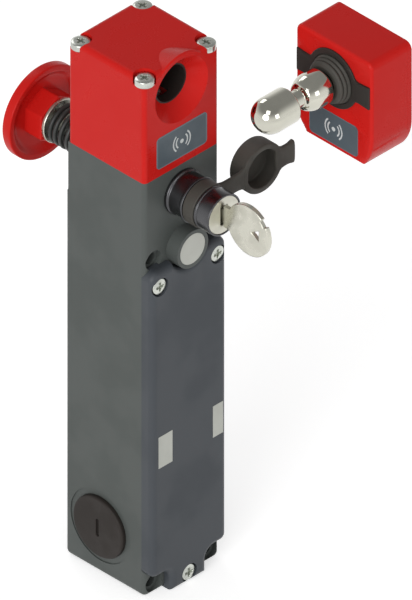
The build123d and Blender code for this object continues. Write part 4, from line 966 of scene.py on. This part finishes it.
class GUARD_OT_stage(bpy.types.Operator):
    """Pale floor, even studio light and the camera of the photograph"""

    bl_idname = "guard.stage"
    bl_label = "Floor, light and camera"

    def execute(self, context):
        scene = context.scene
        light = scene.guard_switch_light
        reach = np.array((-4000.0, 4000.0))
        x, y = np.meshgrid(reach, reach)
        corners = np.stack((x, y, np.full_like(x, FLOOR)), axis=-1)
        mesh = surface_mesh("studio_floor", [(corners, False, False)])
        mesh.materials.append(self.floor_material(light.white_lift))
        floor = bpy.data.objects.new("studio_floor", mesh)
        scene.collection.objects.link(floor)
        scene.world = self.world(light.ambient)
        self.sun(scene, "side_sun", (-0.90, -0.32, 0.28), light.side_sun)
        for name, direction in PANELS:
            self.panel(scene, name, direction, light.panel)
        self.camera(scene)
        scene.view_settings.view_transform = "Standard"
        return {"FINISHED"}

    def floor_material(self, lift):
        """Pale grey floor that glows a little for the camera and for reflections, so that open
        floor is white and the shadow stays."""
        material, tree, shader, place = new_material("Studio floor", 0.0, 0.0)
        add_mottle(tree, shader, place, (0.80, 0.80, 0.80), (0.79, 0.79, 0.79), (0.4, 20.0), (0.9, 1.0))
        shader.inputs["Emission Color"].default_value = (1.0, 1.0, 1.0, 1.0)
        glow = calc(tree, "MULTIPLY", seen_or_reflected(tree), lift)
        tree.links.new(glow, shader.inputs["Emission Strength"])
        return material

    def world(self, ambient):
        """White for camera and reflections, and the ambient level for the rest, both greyer
        overhead."""
        world = bpy.data.worlds.new("Studio")
        world.use_nodes = True
        tree = world.node_tree
        background = tree.nodes["Background"]
        place = tree.nodes.new("ShaderNodeTexCoord").outputs["Generated"]
        parts = tree.nodes.new("ShaderNodeSeparateXYZ")
        tree.links.new(place, parts.inputs[0])
        shown = spread(tree, parts.outputs[2], 0.0, 0.70, 1.0, 0.32)
        lit = spread(tree, parts.outputs[2], 0.0, 0.90, ambient * 1.05, ambient * 0.60)
        level = tree.nodes.new("ShaderNodeMix")
        tree.links.new(lit, level.inputs[2])
        tree.links.new(seen_or_reflected(tree), level.inputs[0])
        tree.links.new(shown, level.inputs[3])
        tree.links.new(level.outputs[0], background.inputs["Strength"])
        background.inputs["Color"].default_value = (1.0, 1.0, 1.0, 1.0)
        return world

    def sun(self, scene, name, direction, strength):
        """Soft sun that shines from the direction."""
        lamp = bpy.data.lights.new(name, "SUN")
        lamp.energy = strength
        lamp.angle = radians(35)
        holder = bpy.data.objects.new(name, lamp)
        holder.rotation_euler = Vector(direction).to_track_quat("Z", "Y").to_euler()
        scene.collection.objects.link(holder)

    def panel(self, scene, name, direction, power):
        """Square soft light that faces the object from the direction."""
        aim, distance = Vector((0.02, -0.06, 0.10)), 0.9
        lamp = bpy.data.lights.new(name, "AREA")
        lamp.shape = "SQUARE"
        lamp.size = 0.34
        lamp.energy = power
        holder = bpy.data.objects.new(name, lamp)
        holder.location = aim + Vector(direction).normalized() * distance
        holder.rotation_euler = Vector(direction).to_track_quat("Z", "Y").to_euler()
        scene.collection.objects.link(holder)

    def camera(self, scene):
        """Parallel view along the cube's diagonal, as in the photograph."""
        aim, distance = Vector((0.0278, -0.0278, 0.0278)), 1.6
        back = Vector((-1.0, -1.0, 1.0)).normalized()
        lens = bpy.data.cameras.new("photo_camera")
        lens.type = "ORTHO"
        lens.ortho_scale = 0.2281
        lens.clip_end = 20.0
        camera = bpy.data.objects.new("photo_camera", lens)
        camera.location = aim + back * distance
        camera.rotation_euler = back.to_track_quat("Z", "Y").to_euler()
        scene.collection.objects.link(camera)
        scene.camera = camera


class GUARD_PT_sidebar(bpy.types.Panel):
    """Lists the steps, the colours, the sizes and the light levels"""

    bl_idname = "GUARD_PT_sidebar"
    bl_label = "Guard Switch"
    bl_space_type = "VIEW_3D"
    bl_region_type = "UI"
    bl_category = "Guard Switch"

    def draw(self, context):
        for step in STEPS:
            self.layout.operator(step.bl_idname, text=step.bl_label)
        for settings in ("guard_switch_colours", "guard_switch_sizes", "guard_switch_light"):
            group = getattr(context.scene, settings)
            box = self.layout.box()
            for name in group.__annotations__:
                box.prop(group, name)


STEPS = (
    GUARD_OT_frame_finish,
    GUARD_OT_screws,
    GUARD_OT_key_lock,
    GUARD_OT_key,
    GUARD_OT_dust_cap,
    GUARD_OT_release_button,
    GUARD_OT_rod_spring,
    GUARD_OT_actuator_pin,
    GUARD_OT_actuator_rubber,
    GUARD_OT_actuator_block,
    GUARD_OT_stage,
)
CLASSES = (GuardSwitchColours, GuardSwitchSizes, GuardSwitchLight, *STEPS, GUARD_PT_sidebar)


def register():
    for entry in CLASSES:
        bpy.utils.register_class(entry)
    bpy.types.Scene.guard_switch_colours = PointerProperty(type=GuardSwitchColours)
    bpy.types.Scene.guard_switch_sizes = PointerProperty(type=GuardSwitchSizes)
    bpy.types.Scene.guard_switch_light = PointerProperty(type=GuardSwitchLight)


def unregister():
    del bpy.types.Scene.guard_switch_light
    del bpy.types.Scene.guard_switch_sizes
    del bpy.types.Scene.guard_switch_colours
    for entry in reversed(CLASSES):
        bpy.utils.unregister_class(entry)


def main():
    register()
    bpy.ops.guard.frame_finish()
    bpy.ops.guard.screws()
    bpy.ops.guard.key_lock()
    bpy.ops.guard.key()
    bpy.ops.guard.dust_cap()
    bpy.ops.guard.release_button()
    bpy.ops.guard.rod_spring()
    bpy.ops.guard.actuator_pin()
    bpy.ops.guard.actuator_rubber()
    bpy.ops.guard.actuator_block()
    bpy.ops.guard.stage()


if __name__ == "__main__":
    main()
